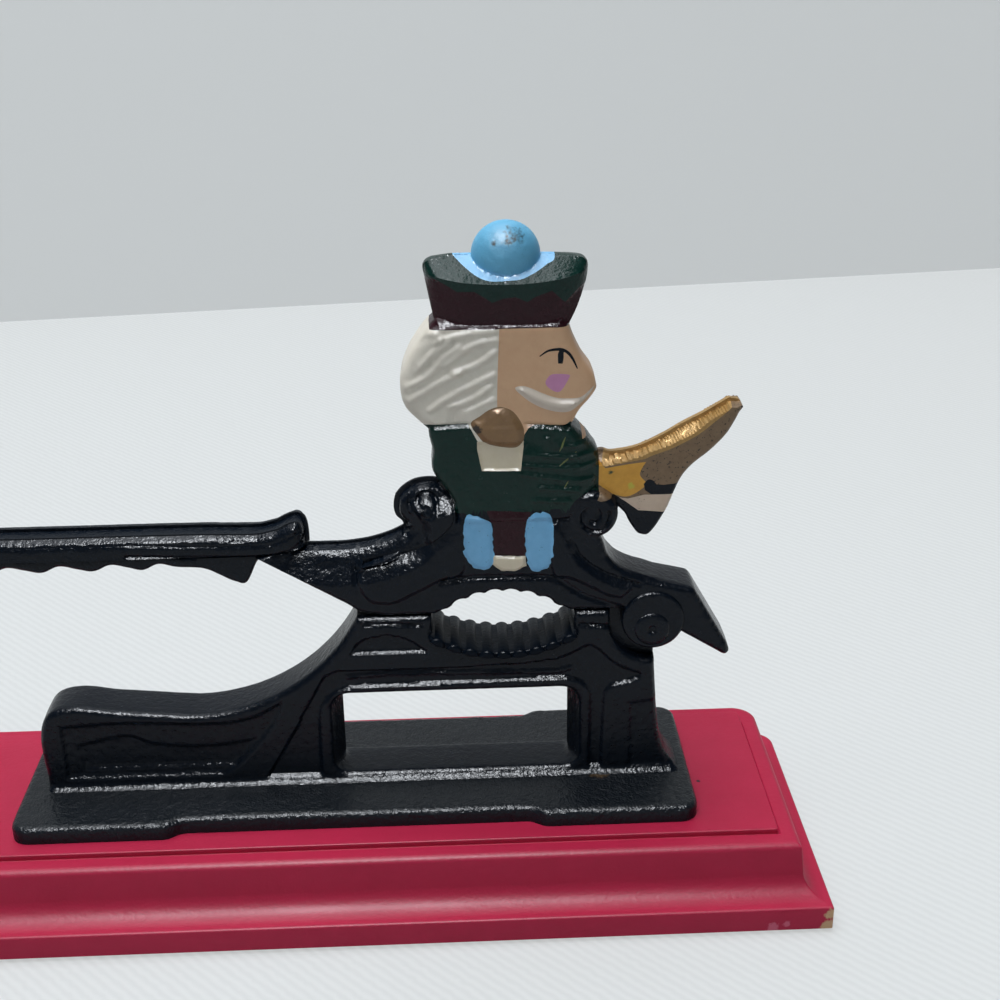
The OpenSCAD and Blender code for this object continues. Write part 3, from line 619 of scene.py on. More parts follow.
def cast_object(name, points, triangles, half, materials, tones=None, slot=None, skin=SKIN, lean=None):
    """Two mirrored faces and the wall between them, in metres.

    tones gives each triangle's material. slot is the outline of a fork's slot. skin is the grain and height
    of the cast skin in mm. lean gives how far the wall leans out at the middle plane.
    """
    tones = [0] * len(triangles) if tones is None else tones
    count = len(points)
    grain, rise = skin
    rough = [surface_noise(points, side, grain, rise) + surface_noise(points, side + 3, grain * 3, rise)
             for side in (0, 1)]
    front = np.column_stack([points[:, 0], -(half + rough[0]), points[:, 1]])
    rear = np.column_stack([points[:, 0], half + rough[1], points[:, 1]])
    owner, border = sides(triangles)
    slotted = np.zeros(len(triangles), bool)
    if slot is not None:
        slotted = inside(points[triangles].mean(1), slot)
    verts = [front, rear]
    total = 2 * count
    inner = {}
    for v in np.unique(triangles[slotted]) if slotted.any() else ():
        inner[v] = total
        x, z = points[v]
        verts.append([(x, -SLOT_GAP, z), (x, SLOT_GAP, z)])
        total += 2
    outward = np.zeros((count, 2))
    for (a, b), t in border:
        d = points[b] - points[a]
        for v in (a, b):
            outward[v] += (d[1], -d[0])
    size = np.linalg.norm(outward, axis=1)
    outward[size > 0] /= size[size > 0][:, None]
    leaning = lean(points, outward) if lean else np.where(half > 1, 0.1, 0.0)
    rings = {}
    for v in sorted({v for e, t in border for v in e}):
        y0, y1 = front[v][1], rear[v][1]
        g = min(SLOT_GAP, 0.5 * half[v])
        ring = [v]
        for k, y in enumerate([(y0 - g) / 2, -g, 0, g, (y1 + g) / 2]):
            if v in inner and k in (1, 3):
                ring.append(inner[v] + (0 if k == 1 else 1))
                continue
            place = points[v] + outward[v] * leaning[v] * (1 - abs(y) / max(half[v], 0.1))
            ring.append(total)
            verts.append([(place[0], y, place[1])])
            total += 1
        ring.append(v + count)
        rings[v] = ring
    faces, tags = [], []
    for t, (a, b, c) in enumerate(triangles):
        faces += [(a, b, c), (c + count, b + count, a + count)]
        tags += [tones[t]] * 2
        if slotted[t]:
            faces += [(inner[c], inner[b], inner[a]), (inner[a] + 1, inner[b] + 1, inner[c] + 1)]
            tags += [0] * 2
    for (a, b), t in border:
        for k in range(6):
            if slotted[t] and k in (2, 3):
                continue
            faces.append((rings[b][k], rings[a][k], rings[a][k + 1], rings[b][k + 1]))
            tags.append(tones[t])
    for (a, b), t in owner.items():
        other = owner.get((b, a))
        if slotted[t] and other is not None and not slotted[other]:
            faces.append((inner[a], inner[b], inner[b] + 1, inner[a] + 1))
            tags.append(0)
    obj = plain_mesh(name, np.vstack(verts) * MM + (0, 0, DECK * MM), faces, materials)
    obj.data.polygons.foreach_set("material_index", tags)
    smooth_shade(obj)
    return obj


def plate(name, outline, half, rim, step, made, skin=SKIN):
    """A cast plate with rounded edges and no relief."""
    shapes = [slab(outline, half, rim)]
    points, triangles = cast_faces(shapes, [], [], step)
    return cast_object(name, points, triangles, heights(points, shapes, []), [made], skin=skin)


# Gloss enamel brushed thickly on grainy cast iron: almost black with a blue cast, and glittering on
# every edge, because the sand's grain shows through
cast_black = painted("gloss_enamel_on_cast_iron", BLACK, BLACK_BLUE, 0.24, 0.5, 0.11, mottle_mm=2.0,
                     gloss_range=0.08, level=0.16)

# Outline of the web, in mm from the plinth's middle and above the flange's underside
FLANGE_L, FLANGE_T = 151.2, 3.9
BENCH = JAW[1]
WINDOW_X, WINDOW_L, WINDOW_H = -5.1, 55.2, 22.3
SILL_H, WINDOW_LEAN, WINDOW_CORNER, WINDOW_FOOT = 1.9, 2.1, 4.0, 3.0
POST_X = PIN[0] + 0.9
ARM_H, SWEEP_R = 21.9, 42.0
NOSE = (WINDOW_X + 6, BENCH - 1.2)
sweep_turn = math.degrees(math.acos((SWEEP_R - NOSE[1] + ARM_H) / SWEEP_R))
sweep_x = NOSE[0] - SWEEP_R * math.sin(math.radians(sweep_turn))
arm_end = -FLANGE_L / 2 + 5.6
toe_x = FLANGE_L / 2 - 2
web_outline = joined(
    [(arm_end, 1.0)],
    smooth([(arm_end, FLANGE_T + 3), (arm_end - 0.4, ARM_H - 5), (arm_end + 2, ARM_H + 1.2),
        (arm_end + 8, ARM_H + 3), (arm_end + 17, ARM_H + 1.7), (sweep_x, ARM_H)]),
    arc((sweep_x, ARM_H + SWEEP_R), SWEEP_R, -88, sweep_turn - 90, 30),
    [(NOSE[0] + 0.7, BENCH), (POST_X, BENCH), (POST_X, BENCH - 14)],
    smooth([(POST_X + 0.5, FLANGE_T + 20), (POST_X + 1.5, FLANGE_T + 10), (POST_X + 3.3, FLANGE_T + 4),
        (toe_x, FLANGE_T - 0.6)]),
    [(toe_x, 1.0)])
SILL, WINDOW_TOP, WINDOW_END = FLANGE_T + SILL_H, FLANGE_T + WINDOW_H, WINDOW_X + WINDOW_L
window_outline = joined(
    arc((WINDOW_END - WINDOW_FOOT, SILL + WINDOW_FOOT), WINDOW_FOOT, -90, 0, 8),
    arc((WINDOW_END - WINDOW_CORNER, WINDOW_TOP - WINDOW_CORNER), WINDOW_CORNER, 0, 90, 8),
    arc((WINDOW_X + WINDOW_CORNER, WINDOW_TOP - WINDOW_CORNER), WINDOW_CORNER, 90, 180, 8),
    arc((WINDOW_X + WINDOW_FOOT, SILL + WINDOW_FOOT), WINDOW_FOOT, 180, 270, 8))


def window_lean(points, outward):
    """The window's ends lean in to the middle plane, as the mould's draft; other walls are nearly upright."""
    by_window = distance(points, window_outline, reach=0.2) < 0.05
    return np.where(by_window, WINDOW_LEAN * np.abs(outward[:, 0]) + 0.1, 0.1)


JAW_L, DISH_D, DISH_EDGE = 31.0, 9.1, 4.8
ARCH_L, ARCH_H = 27.4, 5.2
RIBS, RIB_H, RIB_FOOT = 9, 0.6, 1.3


def chord_radius(chord, rise):
    """Radius of a circle that rises so far over a chord."""
    return (chord * chord / 4 + rise * rise) / (2 * rise)


dish_r = chord_radius(JAW_L, DISH_D - DISH_EDGE)
dish_c = JAW + (0, dish_r - DISH_D)
dish_half = math.degrees(math.asin(JAW_L / 2 / dish_r))
dish_outline = joined([JAW + (JAW_L / 2, 3), JAW + (-JAW_L / 2, 3)],
                      arc(dish_c, dish_r, 270 - dish_half, 270 + dish_half, 30))
pocket_c = PIN + (0.2, 1.3)
pocket_r = 9.4
pocket_outline = joined(arc(pocket_c, pocket_r, 180, 350, 24), [pocket_c + (20, -3), pocket_c + (20, 12)],
                        [pocket_c + (-pocket_r, 12)])

# Sunk fields and mouldings on the web's faces, as cast
channel = joined(
    smooth([(45.5, 34.1), (48.6, 35.5), (50.9, 36.7), (52.5, 37.2), (54.5, 36.1), (56.8, 33.7), (59.1, 31.8),
        (62.3, 30.3), (64.2, 29.5)]),
    smooth([(64.2, 28.2), (61.5, 26.9), (58.8, 26.3), (56.9, 25.4), (56.1, 23.2), (55.9, 18.4), (55.6, 5)]),
    [(52.1, 5)],
    smooth([(52.1, 11), (52.2, 19.1), (52.2, 23.9), (51, 26.5), (48.2, 28), (44.6, 28.3), (28.2, 28),
        (6.7, 27.8), (1.7, 27.8), (-3, 26.8), (-6.2, 24.2), (-7.3, 21.5), (-7.7, 16.5), (-7.8, 5)]),
    smooth([(-21, 5), (-17.8, 10.9), (-14.3, 16.8), (-11.9, 21.5), (-9.6, 25.6), (-7.9, 29), (-6.2, 31.3),
        (-3.7, 32.4), (-0.6, 32.6), (9.5, 32.7), (28.1, 32.8), (39.6, 33.3)]))
half_moon = smooth([(-0.6, 35.9), (0.2, 38), (2.8, 40.2), (7.3, 41.1), (11.3, 40.5), (14.4, 38.6),
    (17.6, 36)])
post_field = joined([(72, 23.4), (61.4, 22), (61.4, 5), (72, 5)])
arm_field = joined(
    smooth([(-66, 20.5), (-51.1, 21.2), (-31.9, 20.4), (-23.7, 21.4), (-17.3, 24.7), (-14.6, 27.2)]),
    smooth([(-15, 25.5), (-17.2, 19.9), (-20, 15.8), (-25.5, 9.5), (-30, 6)]), [(-66, 6)])
arm_deep = joined(
    smooth([(-63, 15), (-51.5, 17.4), (-45.2, 15.1), (-37.6, 14.2), (-29.9, 14.4), (-22, 15.6)]),
    [(-27, 8.2), (-62, 8.2)])
frame_reliefs = [
    panel(channel, -0.8, 0.8),
    panel(half_moon, -0.9, 0.8),
    panel(post_field, -0.35, 0.6),
    panel(arm_field, -0.8, 1.3),
    panel(arm_deep, -0.6, 1.0),
    bead([(-1, 30.4), (9.5, 30.9), (28, 30.6), (44, 30.2), (48, 31)], 0.8, 0.35),
    bead([(3, 43.7), (15.4, 43.2)], 0.7, -0.5),
    bead([(50.4, 42.1), (56.7, 41.4)], 0.7, -0.5),
]
WEB_FILLET = 1.6
frame_shapes = [slab(web_outline, WEB, WEB_RIM)]


def web_fillet(q):
    """The casting's fillet where the web meets the flange."""
    return fall(np.clip(q[:, 1] - FLANGE_T, 0, WEB_FILLET), WEB_FILLET)


cuts = [window_outline, dish_outline, pocket_outline]
points, triangles = cast_faces(frame_shapes, cuts, [], MESH_STEP,
                               clip=lambda q: q[:, 1] > FLANGE_T - 0.6)
half = heights(points, frame_shapes, frame_reliefs + [web_fillet])
for cut in cuts:
    half -= fall(distance(points, cut, reach=1.5), CUT_RIM)
web = cast_object("frame_web", points, triangles, half, [cast_black], lean=window_lean)
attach(web, "base")
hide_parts("frame_casting")

# Tongue that enters the lever's fork
tongue_outline = joined([PIN + (-12, -12), PIN + (-12, 4.5), PIN + (-8, 4.5)], arc(PIN, 9.4, 130, 10, 14),
                        [(POST_X, PIN[1] - 1), (POST_X, PIN[1] - 12)])
TONGUE_HALF, TONGUE_RIM = 2.5, 0.5
tongue = plate("frame_tongue", tongue_outline, TONGUE_HALF, TONGUE_RIM, 0.8, cast_black, skin=(1.4, 0.02))
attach(tongue, "base")
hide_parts("frame_casting")

# Foot flange: a slab with soft upper edges, wider at both ends
FLANGE_W, WAIST_W, WAIST_L, STEP = 41.2, 37.0, 80.0, 2.2
half_l, pad_y, waist_y = FLANGE_L / 2, FLANGE_W / 2, WAIST_W / 2
quarter = joined(arc((half_l - 4, pad_y - 4), 4, 0, 90, 8),
                 smooth([(WAIST_L / 2 + STEP, pad_y), (WAIST_L / 2 + STEP / 2, pad_y - 0.35),
                         (WAIST_L / 2 - STEP / 2, waist_y + 0.35), (WAIST_L / 2 - STEP, waist_y)], 4))
right_half = joined((quarter * (1, -1))[::-1], quarter)
flange_outline = joined(right_half, (right_half * (-1, 1))[::-1])
# The castings sit a little rearwards and turned on the plinth, so the flange's rear edge is moved back
REAR_MORE = 1.7
flange_outline[flange_outline[:, 1] > 5] += (0, REAR_MORE)
FLANGE_RIM = 1.3
flange_shapes = [slab(flange_outline, FLANGE_T, FLANGE_RIM)]
points, triangles = cast_faces(flange_shapes, [], [], 0.75)
top = heights(points, flange_shapes, [])
top += surface_noise(points, 5, 1.3, 0.09) + surface_noise(points, 6, 4.0, 0.09)
top = np.minimum(top, FLANGE_T + 0.05)
count = len(points)
verts = np.vstack([np.column_stack([points, top]), np.column_stack([points, np.full(count, 0.02)])])
faces = [tuple(t) for t in triangles] + [tuple(t[::-1] + count) for t in triangles]
faces += [(b, a, a + count, b + count) for (a, b), t in sides(triangles)[1]]
# The same enamel where it lies flat: dust dulls it, and rust-brown dirt has gathered at the post's foot
# Where it faces up it is mixed lighter grey: partly dust, partly a painted sheen
dust_and_sheen_black = painted(
    "gloss_enamel_on_cast_iron_dust_and_sheen", "#0A1119", "#101821", 0.30, 0.55, 0.20, mottle_mm=2.0,
    gloss_range=0.08, level=0.22, dust_and_sheen=("#16191B", 0.5),
    patches=(("#5A4227", ((WINDOW_END + 0.9) * MM, 0.0052, (DECK + FLANGE_T) * MM), 0.0022, 0.0016),
        ("#4A3A28", ((WINDOW_END + 5) * MM, -0.0068, (DECK + FLANGE_T) * MM), 0.0016, 0.0016)))
flange = plain_mesh("frame_flange", verts * MM + (0, 0, DECK * MM), faces, [dust_and_sheen_black])
smooth_shade(flange)
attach(flange, "base")
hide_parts("frame_casting")

# Lower jaw: a thin curved shelf with rounded ribs across it, repeated along the dish
JAW_HALF, SHELF_HALF, SHELF_T = 7.2, 6.7, 0.9
rib_pitch = JAW_L / RIBS
rib_r = 0.53 * rib_pitch
# The same enamel, dulled by shells and nut oil: it hardly mirrors the wall behind
dull_black = painted("gloss_enamel_dulled_by_use", BLACK, BLACK_BLUE, 0.3, 0.34, 0.05, mottle_mm=2.0,
                     gloss_range=0.08, level=0.06)
# One rib's end: a round top that narrows to a blunt point below
top_turn = math.degrees(math.acos(rib_pitch / 2 / rib_r))
rib_end = joined(arc((0, -rib_r), rib_r, 180 - top_turn * 0.2, top_turn * 0.2, 12),
                 smooth([(rib_pitch / 2 - 0.1, -RIB_H - 1.2), (0.6, -RIB_H - RIB_FOOT - 0.1),
                         (0, -RIB_H - RIB_FOOT - 0.2), (-0.6, -RIB_H - RIB_FOOT - 0.1),
                         (-rib_pitch / 2 + 0.1, -RIB_H - 1.2)], 3))
rib_middle = np.array([0, -1.0])
rib_points = []
rib_rings = [(-JAW_HALF, 0.55), (-JAW_HALF + 0.12, 0.8), (-JAW_HALF + 0.5, 1.0)]
rib_rings += [(-y, size) for y, size in reversed(rib_rings)]
for y, size in rib_rings:
    rib_points += [(x, y, z) for x, z in rib_middle + (rib_end - rib_middle) * size]
around = len(rib_end)
rib_faces = tube(len(rib_rings), around)
rib_faces += [tuple(range(around)), tuple(range(len(rib_points) - around, len(rib_points)))]
rib_bar = plain_mesh("rib_bar", np.array(rib_points) * MM, rib_faces, [dull_black])

rib_tree = bpy.data.node_groups.new("jaw_ribs", "GeometryNodeTree")
for socket_name, kind in (("Geometry", "Geometry"), ("Bar", "Object"), ("Finish", "Material"),
        ("Count", "Int"), ("Pitch", "Float"), ("Dish radius", "Float")):
    rib_tree.interface.new_socket(socket_name, in_out="INPUT", socket_type="NodeSocket" + kind)
rib_tree.interface.new_socket("Geometry", in_out="OUTPUT", socket_type="NodeSocketGeometry")
source = add(rib_tree, "NodeGroupInput").outputs
number = add(rib_tree, "GeometryNodeInputIndex").outputs[0]
last = add(rib_tree, "ShaderNodeMath", {0: source["Count"], 1: 1.0}, operation="SUBTRACT").outputs[0]
centred = add(rib_tree, "ShaderNodeMath", {0: last, 1: -0.5, 2: number}, operation="MULTIPLY_ADD").outputs[0]
across = add(rib_tree, "ShaderNodeMath", {0: centred, 1: source["Pitch"]}, operation="MULTIPLY").outputs[0]
share = add(rib_tree, "ShaderNodeMath", {0: across, 1: source["Dish radius"]}, operation="DIVIDE").outputs[0]
tilt = add(rib_tree, "ShaderNodeMath", {0: share}, operation="ARCSINE").outputs[0]
level_part = add(rib_tree, "ShaderNodeMath", {0: tilt}, operation="COSINE").outputs[0]
sunk = add(rib_tree, "ShaderNodeMath", {0: level_part, 1: source["Dish radius"]},
    operation="MULTIPLY").outputs[0]
below = add(rib_tree, "ShaderNodeMath", {0: sunk, 1: -1.0}, operation="MULTIPLY").outputs[0]
place = add(rib_tree, "ShaderNodeCombineXYZ", {0: across, 2: below}).outputs[0]
tilt_back = add(rib_tree, "ShaderNodeMath", {0: tilt, 1: -1.0}, operation="MULTIPLY").outputs[0]
turned = add(rib_tree, "ShaderNodeCombineXYZ", {1: tilt_back}).outputs[0]
spots = add(rib_tree, "GeometryNodePoints", {"Count": source["Count"], "Position": place})
bar = add(rib_tree, "GeometryNodeObjectInfo", {"Object": source["Bar"]})
copies = add(rib_tree, "GeometryNodeInstanceOnPoints", {"Points": spots.outputs[0], "Rotation": turned,
                                                        "Instance": bar.outputs["Geometry"]})
moved = add(rib_tree, "GeometryNodeRealizeInstances", {"Geometry": copies.outputs[0]})
coloured = add(rib_tree, "GeometryNodeSetMaterial", {"Geometry": moved.outputs[0],
    "Material": source["Finish"]})
add(rib_tree, "NodeGroupOutput", {"Geometry": coloured.outputs[0]})
rib_maker = plain_mesh("rib_maker", [], [], [])
maker = rib_maker.modifiers.new("ribs", "NODES")
maker.node_group = rib_tree
inputs = {s.name: s.identifier for s in rib_tree.interface.items_tree if s.in_out == "INPUT"}
for input_name, value in (("Bar", rib_bar), ("Finish", dull_black), ("Count", RIBS),
        ("Pitch", rib_pitch * MM), ("Dish radius", (dish_r - RIB_H) * MM)):
    maker[inputs[input_name]] = value
bpy.context.view_layer.update()
shown = rib_maker.evaluated_get(bpy.context.evaluated_depsgraph_get())
rib_mesh = bpy.data.meshes.new_from_object(shown)
rib_mesh.materials.clear()
rib_mesh.materials.append(dull_black)
rib_mesh.transform(Matrix.Translation(Vector((dish_c[0] * MM, 0, (dish_c[1] + DECK) * MM))))
bpy.data.objects.remove(rib_maker)
bpy.data.objects.remove(rib_bar)
ribs = linked("lower_jaw_ribs", rib_mesh)
smooth_shade(ribs, 50)
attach(ribs, "base")
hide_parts("frame_casting")

shelf_outline = joined(arc(dish_c, dish_r + SHELF_T, 270 - dish_half - 1, 270 + dish_half + 1, 30),
                       arc(dish_c, dish_r - 0.1, 270 + dish_half + 1, 270 - dish_half - 1, 30))
shelf = plate("lower_jaw_shelf", shelf_outline, SHELF_HALF, SHELF_T / 2, 0.4, dull_black)
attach(shelf, "base")
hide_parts("frame_casting")


# ---- Lever casting ----
# The second sand casting: handle, neck, ribbed upper jaw, fork and tail, with a toy-like soldier cast on top.
# The iron is brushed gloss black, and the soldier is painted by hand in thick enamels.
GUARD_X, CROWN_Z, HANDLE_L = JAW[0] - 51.2, JAW[1] + 16.5, 78.0
KNOB_R, WAVE_L = 5.7, 11
BOSS = PIN + (0.2, 2.0)
SCROLL_EYE = JAW + (19.4, 22.8)
SCROLL_HALF, BOSS_R, EYE_R = 5.95, 6.9, 5.4


def at_jaw(points):
    """Places measured from the middle of the jaws, on the bench line."""
    return np.asarray(points, float) + JAW


def curve(points, loop=False):
    """A smooth curve through places measured from the middle of the jaws."""
    return smooth(at_jaw(points), loop=loop)


def at_pin(points):
    """Places measured from the pin's axis."""
    return np.asarray(points, float) + PIN


def rolled(away, radius, widening):
    """Half thickness at a distance from a rolled edge: a quarter round that then widens evenly."""
    short = np.clip(radius - away, 0, radius)
    return np.sqrt(np.maximum(radius ** 2 - short ** 2, 0)) + widening * np.clip(away - radius, 0, None)


# Neck: its upper edge is rolled, and it thickens down to the flat arm
neck_top = curve([(-44, 16.2), (-38.1, 16.1), (-33.1, 16.2), (-28.2, 16.9), (-24.2, 18.1), (-21, 19.6)])
arm_outline = joined(
    at_jaw([(-52.5, 14.6), (-33.6, 3.0)]),
    curve([(-32.8, 2.4), (-31.3, 1.4), (-27.5, 0.4), (-24, 0.1)]),
    [(PIN[0], BENCH + 0.1)], at_pin([(6.4, -1.5)]),
    smooth(at_pin([(14.6, -6.7), (16.4, -7.7), (17.5, -6.8), (16.9, -4.8)])),
    smooth(at_pin([(10, 7.4), (9, 8.9), (7.4, 9.6), (1.5, 11.2), (-5.9, 14), (-9.4, 17), (-10.6, 20)])),
    [SCROLL_EYE, JAW + (-15.2, 23.6)], neck_top[::-1])


def arm_height(q, d):
    """The arm is a flat plate whose neck is rolled along the top."""
    flat = WEB - fall(d, WEB_RIM)
    return np.minimum(flat, rolled(distance(q, neck_top, loop=False, reach=9), 3.8, 0.45))


# Left scroll: the neck curls over into it, so its outer edge is rolled as well
scroll_edge = joined(
    curve([(-21, 18.4), (-21.1, 20.4), (-22.4, 21.8), (-22.9, 23.6), (-22.8, 25.4), (-22.4, 26.9)]),
    curve([(-22.3, 27), (-20.9, 28.6), (-18.4, 30.1), (-15.2, 30.6), (-12.5, 30.2)]))
band_edge = curve([(-31.6, 8.4), (-31.4, 11.4), (-28.9, 12.3), (-22.9, 13.6), (-17.9, 15.5), (-13.7, 18),
                           (-10.4, 21.2), (-9.8, 24), (-10.6, 27), (-12.8, 29)])
scroll_outline = joined(scroll_edge, band_edge[10:][::-1], at_jaw([(-21, 15)]))


def scroll_height(q, d):
    """A thick leaf that rolls off at its outer edge."""
    return np.minimum(SCROLL_HALF, rolled(distance(q, scroll_edge, loop=False, reach=9), 3.0, 0.9))


# Handle: a half-round crown that curls up into a thumb guard, over a thin finger web with scallops
crown_top = joined(
    arc((GUARD_X - HANDLE_L, CROWN_Z), KNOB_R, 192, 90, 12),
    smooth(np.array([(-73, 5.1), (-66, 4.7), (-16, 4.6), (-8.7, 4.4), (-1.3, 4.3), (1.1, 4.7), (3.1, 5.2),
        (4.4, 5.9), (5.7, 6.5), (7.2, 6.9), (8.4, 6.6), (9.2, 5.9), (9.6, 4.9), (9.8, 3.7), (9.9, 2.2),
        (9.9, 0)]) + (GUARD_X, CROWN_Z)))
crown_outline = joined(crown_top, np.array([(6, -0.6), (0, -1.4), (-HANDLE_L, -1.3)]) + (GUARD_X, CROWN_Z))
CROWN_ROLL, CROWN_HALF, KNOB_MORE = 4.0, 4.6, 1.0


def crown_height(q, d):
    """Half an ellipse down from the top line, then flat; the knob at the end is thicker."""
    short = 1 - np.minimum(distance(q, crown_top, loop=False, reach=6) / CROWN_ROLL, 1)
    knob = np.clip(1 - (q[:, 0] - GUARD_X + HANDLE_L) / 6, 0, 1)
    return (CROWN_HALF + KNOB_MORE * np.sqrt(knob)) * np.sqrt(1 - short ** 2)


hook = [(0.6, -1.8), (-1.4, -3.5), (-3.9, -8.3), (-6.5, -8.0), (-9.5, -6.4), (-13, -4.7), (-18.5, -4.2),
        (-22.4, -3.4), (-25.8, -4.7)]
waves = []
for x in np.arange(-29, -HANDLE_L + WAVE_L, -WAVE_L):
    waves += [(x, -4), (x - WAVE_L / 3, -3.3), (x - 2 * WAVE_L / 3, -4.7)]
grip_outline = joined([(GUARD_X + 2, CROWN_Z - 1)], smooth(np.array(hook + waves) + (GUARD_X, CROWN_Z)),
                      [(GUARD_X - HANDLE_L, CROWN_Z - 1)])

# Upper jaw: scallops along an arch
ARCH_SCALLOPS, SCALLOP_H, ARCH_RIM, LEAST_HALF = 8, 0.6, 1.0, 0.25
arch_pitch = ARCH_L / ARCH_SCALLOPS
arch_r = chord_radius(ARCH_L, ARCH_H)
arch_c = JAW + (0, ARCH_H - arch_r)
scallop_r = chord_radius(arch_pitch, SCALLOP_H)
scallops = []
for i in range(ARCH_SCALLOPS):
    x = (i - (ARCH_SCALLOPS - 1) / 2) * arch_pitch
    reach = arch_r + SCALLOP_H - scallop_r
    middle = arch_c + (x, math.sqrt(reach ** 2 - x * x))
    turn = math.degrees(math.asin(arch_pitch / 2 / scallop_r))
    lean = math.degrees(math.asin(x / reach))
    scallops.append(arc(middle, scallop_r, 90 - lean + turn, 90 - lean - turn, 10))
arch_outline = joined([JAW + (-ARCH_L / 2, -4)], *scallops, [JAW + (ARCH_L / 2, -4)])

# The soldier: coat, head, hat with a dome on it, and a horn held out on the right
coat_outline = curve([(-14, 44.2), (-3, 45), (9, 44.5), (13.8, 43.6), (16.8, 41.2), (19.2, 38.5), (20.6, 36),
                              (20.8, 31), (19.5, 27), (14.5, 22), (0, 21.5), (-8.5, 21.6), (-10.6, 27.8),
                              (-14.2, 33.6), (-14.1, 38)], loop=True)
sleeve_crease = curve([(14.4, 43.2), (15.8, 38), (16.6, 31), (16.4, 27)])
coat_slab = slab(coat_outline, WEB + 0.35, 1.8)


def coat_height(q, d):
    """The coat's front, which slopes back beyond the crease of the sleeve."""
    edge = np.interp(q[:, 1], sleeve_crease[::-1, 1], sleeve_crease[::-1, 0])
    beyond = np.where(q[:, 1] > JAW[1] + 27, np.clip(q[:, 0] - edge, 0, None), 0)
    return coat_slab["height"](q, d) - 0.55 * beyond


head_outline = joined(
    curve([(-12.6, 66.6), (-15.8, 62.9), (-18.3, 59.2), (-20, 54.9), (-20.3, 51), (-19.4, 47.7),
                   (-17, 44.9), (-14.4, 42.4)]),
    at_jaw([(-6, 40.5), (9, 40.5)]),
    curve([(14.4, 42.4), (15.2, 43.8), (16.5, 46.3), (18.4, 48.5), (19.8, 50.6), (19.8, 52), (19.1, 54.3),
                   (17.2, 57.1), (15.4, 60.9), (14.1, 64.6)]),
    at_jaw([(13.6, 67)]))
hat_outline = joined(
    at_jaw([(-12.2, 65.2), (-13.0, 66)]),
    curve([(-13.4, 68), (-14.4, 73), (-15.0, 76.2), (-14.5, 77.3), (-13.2, 78.0)]),
    at_jaw([(-9.7, 78.6), (3, 78.6), (11.6, 78.3)]),
    curve([(14.4, 78.1), (17.1, 77.6), (18.2, 76.1), (17.8, 73.6), (16, 68.6), (14.2, 65)]),
    at_jaw([(13.4, 64.9), (0, 64.9)]))
HAT_X, HAT_L, HAT_HALF, HAT_FOOT, HAT_TOP = 1.7, 16.5, 6.4, 5.7, 0.7
LIP_Z, LIP_CURVE = 73.7, 1.9
hat_u = np.linspace(-0.97, 0.98, 30)
hat_lip = at_jaw(np.column_stack([HAT_X + HAT_L * hat_u, LIP_Z + LIP_CURVE * hat_u ** 2]))


def hat_height(q, d):
    """Front of the hat: it flares up to a curved lip, then slopes back to a ridge on the middle plane."""
    u = np.clip((q[:, 0] - JAW[0] - HAT_X) / HAT_L, -1, 1)
    plan = np.sqrt(1 - u ** 4)
    lip = JAW[1] + LIP_Z + LIP_CURVE * u * u
    foot, ridge = JAW[1] + 65, JAW[1] + 78.5
    below = HAT_FOOT + (HAT_HALF - HAT_FOOT) * np.clip((q[:, 1] - foot) / (lip - foot), 0, 1)
    climb = np.clip((q[:, 1] - lip) / np.maximum(ridge - lip, 0.3), 0, 1)
    return np.where(q[:, 1] < lip, below * plan, (HAT_HALF * plan) * (1 - climb) + HAT_TOP * climb)


DOME, DOME_R, DOME_FLAT = at_jaw([(1.7, 78.2)])[0], 7.0, 0.77


def dome_height(q, d):
    """A ball, pressed a little flat towards both faces."""
    return DOME_FLAT * np.sqrt(np.maximum(DOME_R ** 2 - ((q - DOME) ** 2).sum(1), 0))


horn_top = curve([(15, 34.2), (21, 36), (23.6, 35.5), (28.9, 36.4), (34.1, 38.8), (38.5, 41.4), (43.3, 43.9),
                          (47.7, 46.6), (48.6, 46.7), (50.1, 46.4), (50.7, 45.5)])
horn_outline = joined(
    horn_top,
    curve([(49.9, 44.4), (48.9, 42.2), (47.3, 39.4), (44.3, 36.1), (40.7, 33.0), (38.5, 30.3), (37.1, 27.1),
        (35.7, 23.2), (34.3, 20.4), (32.9, 18.1), (31.5, 16.6), (30.0, 16.7), (29.0, 17.4), (27.4, 19.9),
        (26.1, 22.3), (22.5, 25.4), (16, 28)]))
horn_ridge = curve([(14, 31.8), (22, 32.6), (27, 33.6), (30.2, 34.6), (32.2, 35.5), (35.6, 36.7),
    (38.5, 38.1), (41.6, 39.9), (45.0, 42.7), (47.2, 44.6), (48.5, 46.0)])
HORN_HALF, HORN_EDGE = 3.6, 0.6


def horn_height(q, d):
    """A bent bar with a sharp ridge; it falls steeply to its upper edge and gently to the lower one."""
    away = distance(q, horn_ridge, loop=False, reach=12)
    to_top = distance(q, horn_top, loop=False, reach=12)
    part = to_top / np.maximum(to_top + away, 1e-6)
    above = q[:, 1] > np.interp(q[:, 0], horn_ridge[:, 0], horn_ridge[:, 1])
    facet_half = HORN_EDGE + (HORN_HALF - HORN_EDGE) * part
    side_half = HORN_HALF - 0.08 * away - np.clip(0.5 - d, 0, 0.5)
    return np.where(above, facet_half, side_half)


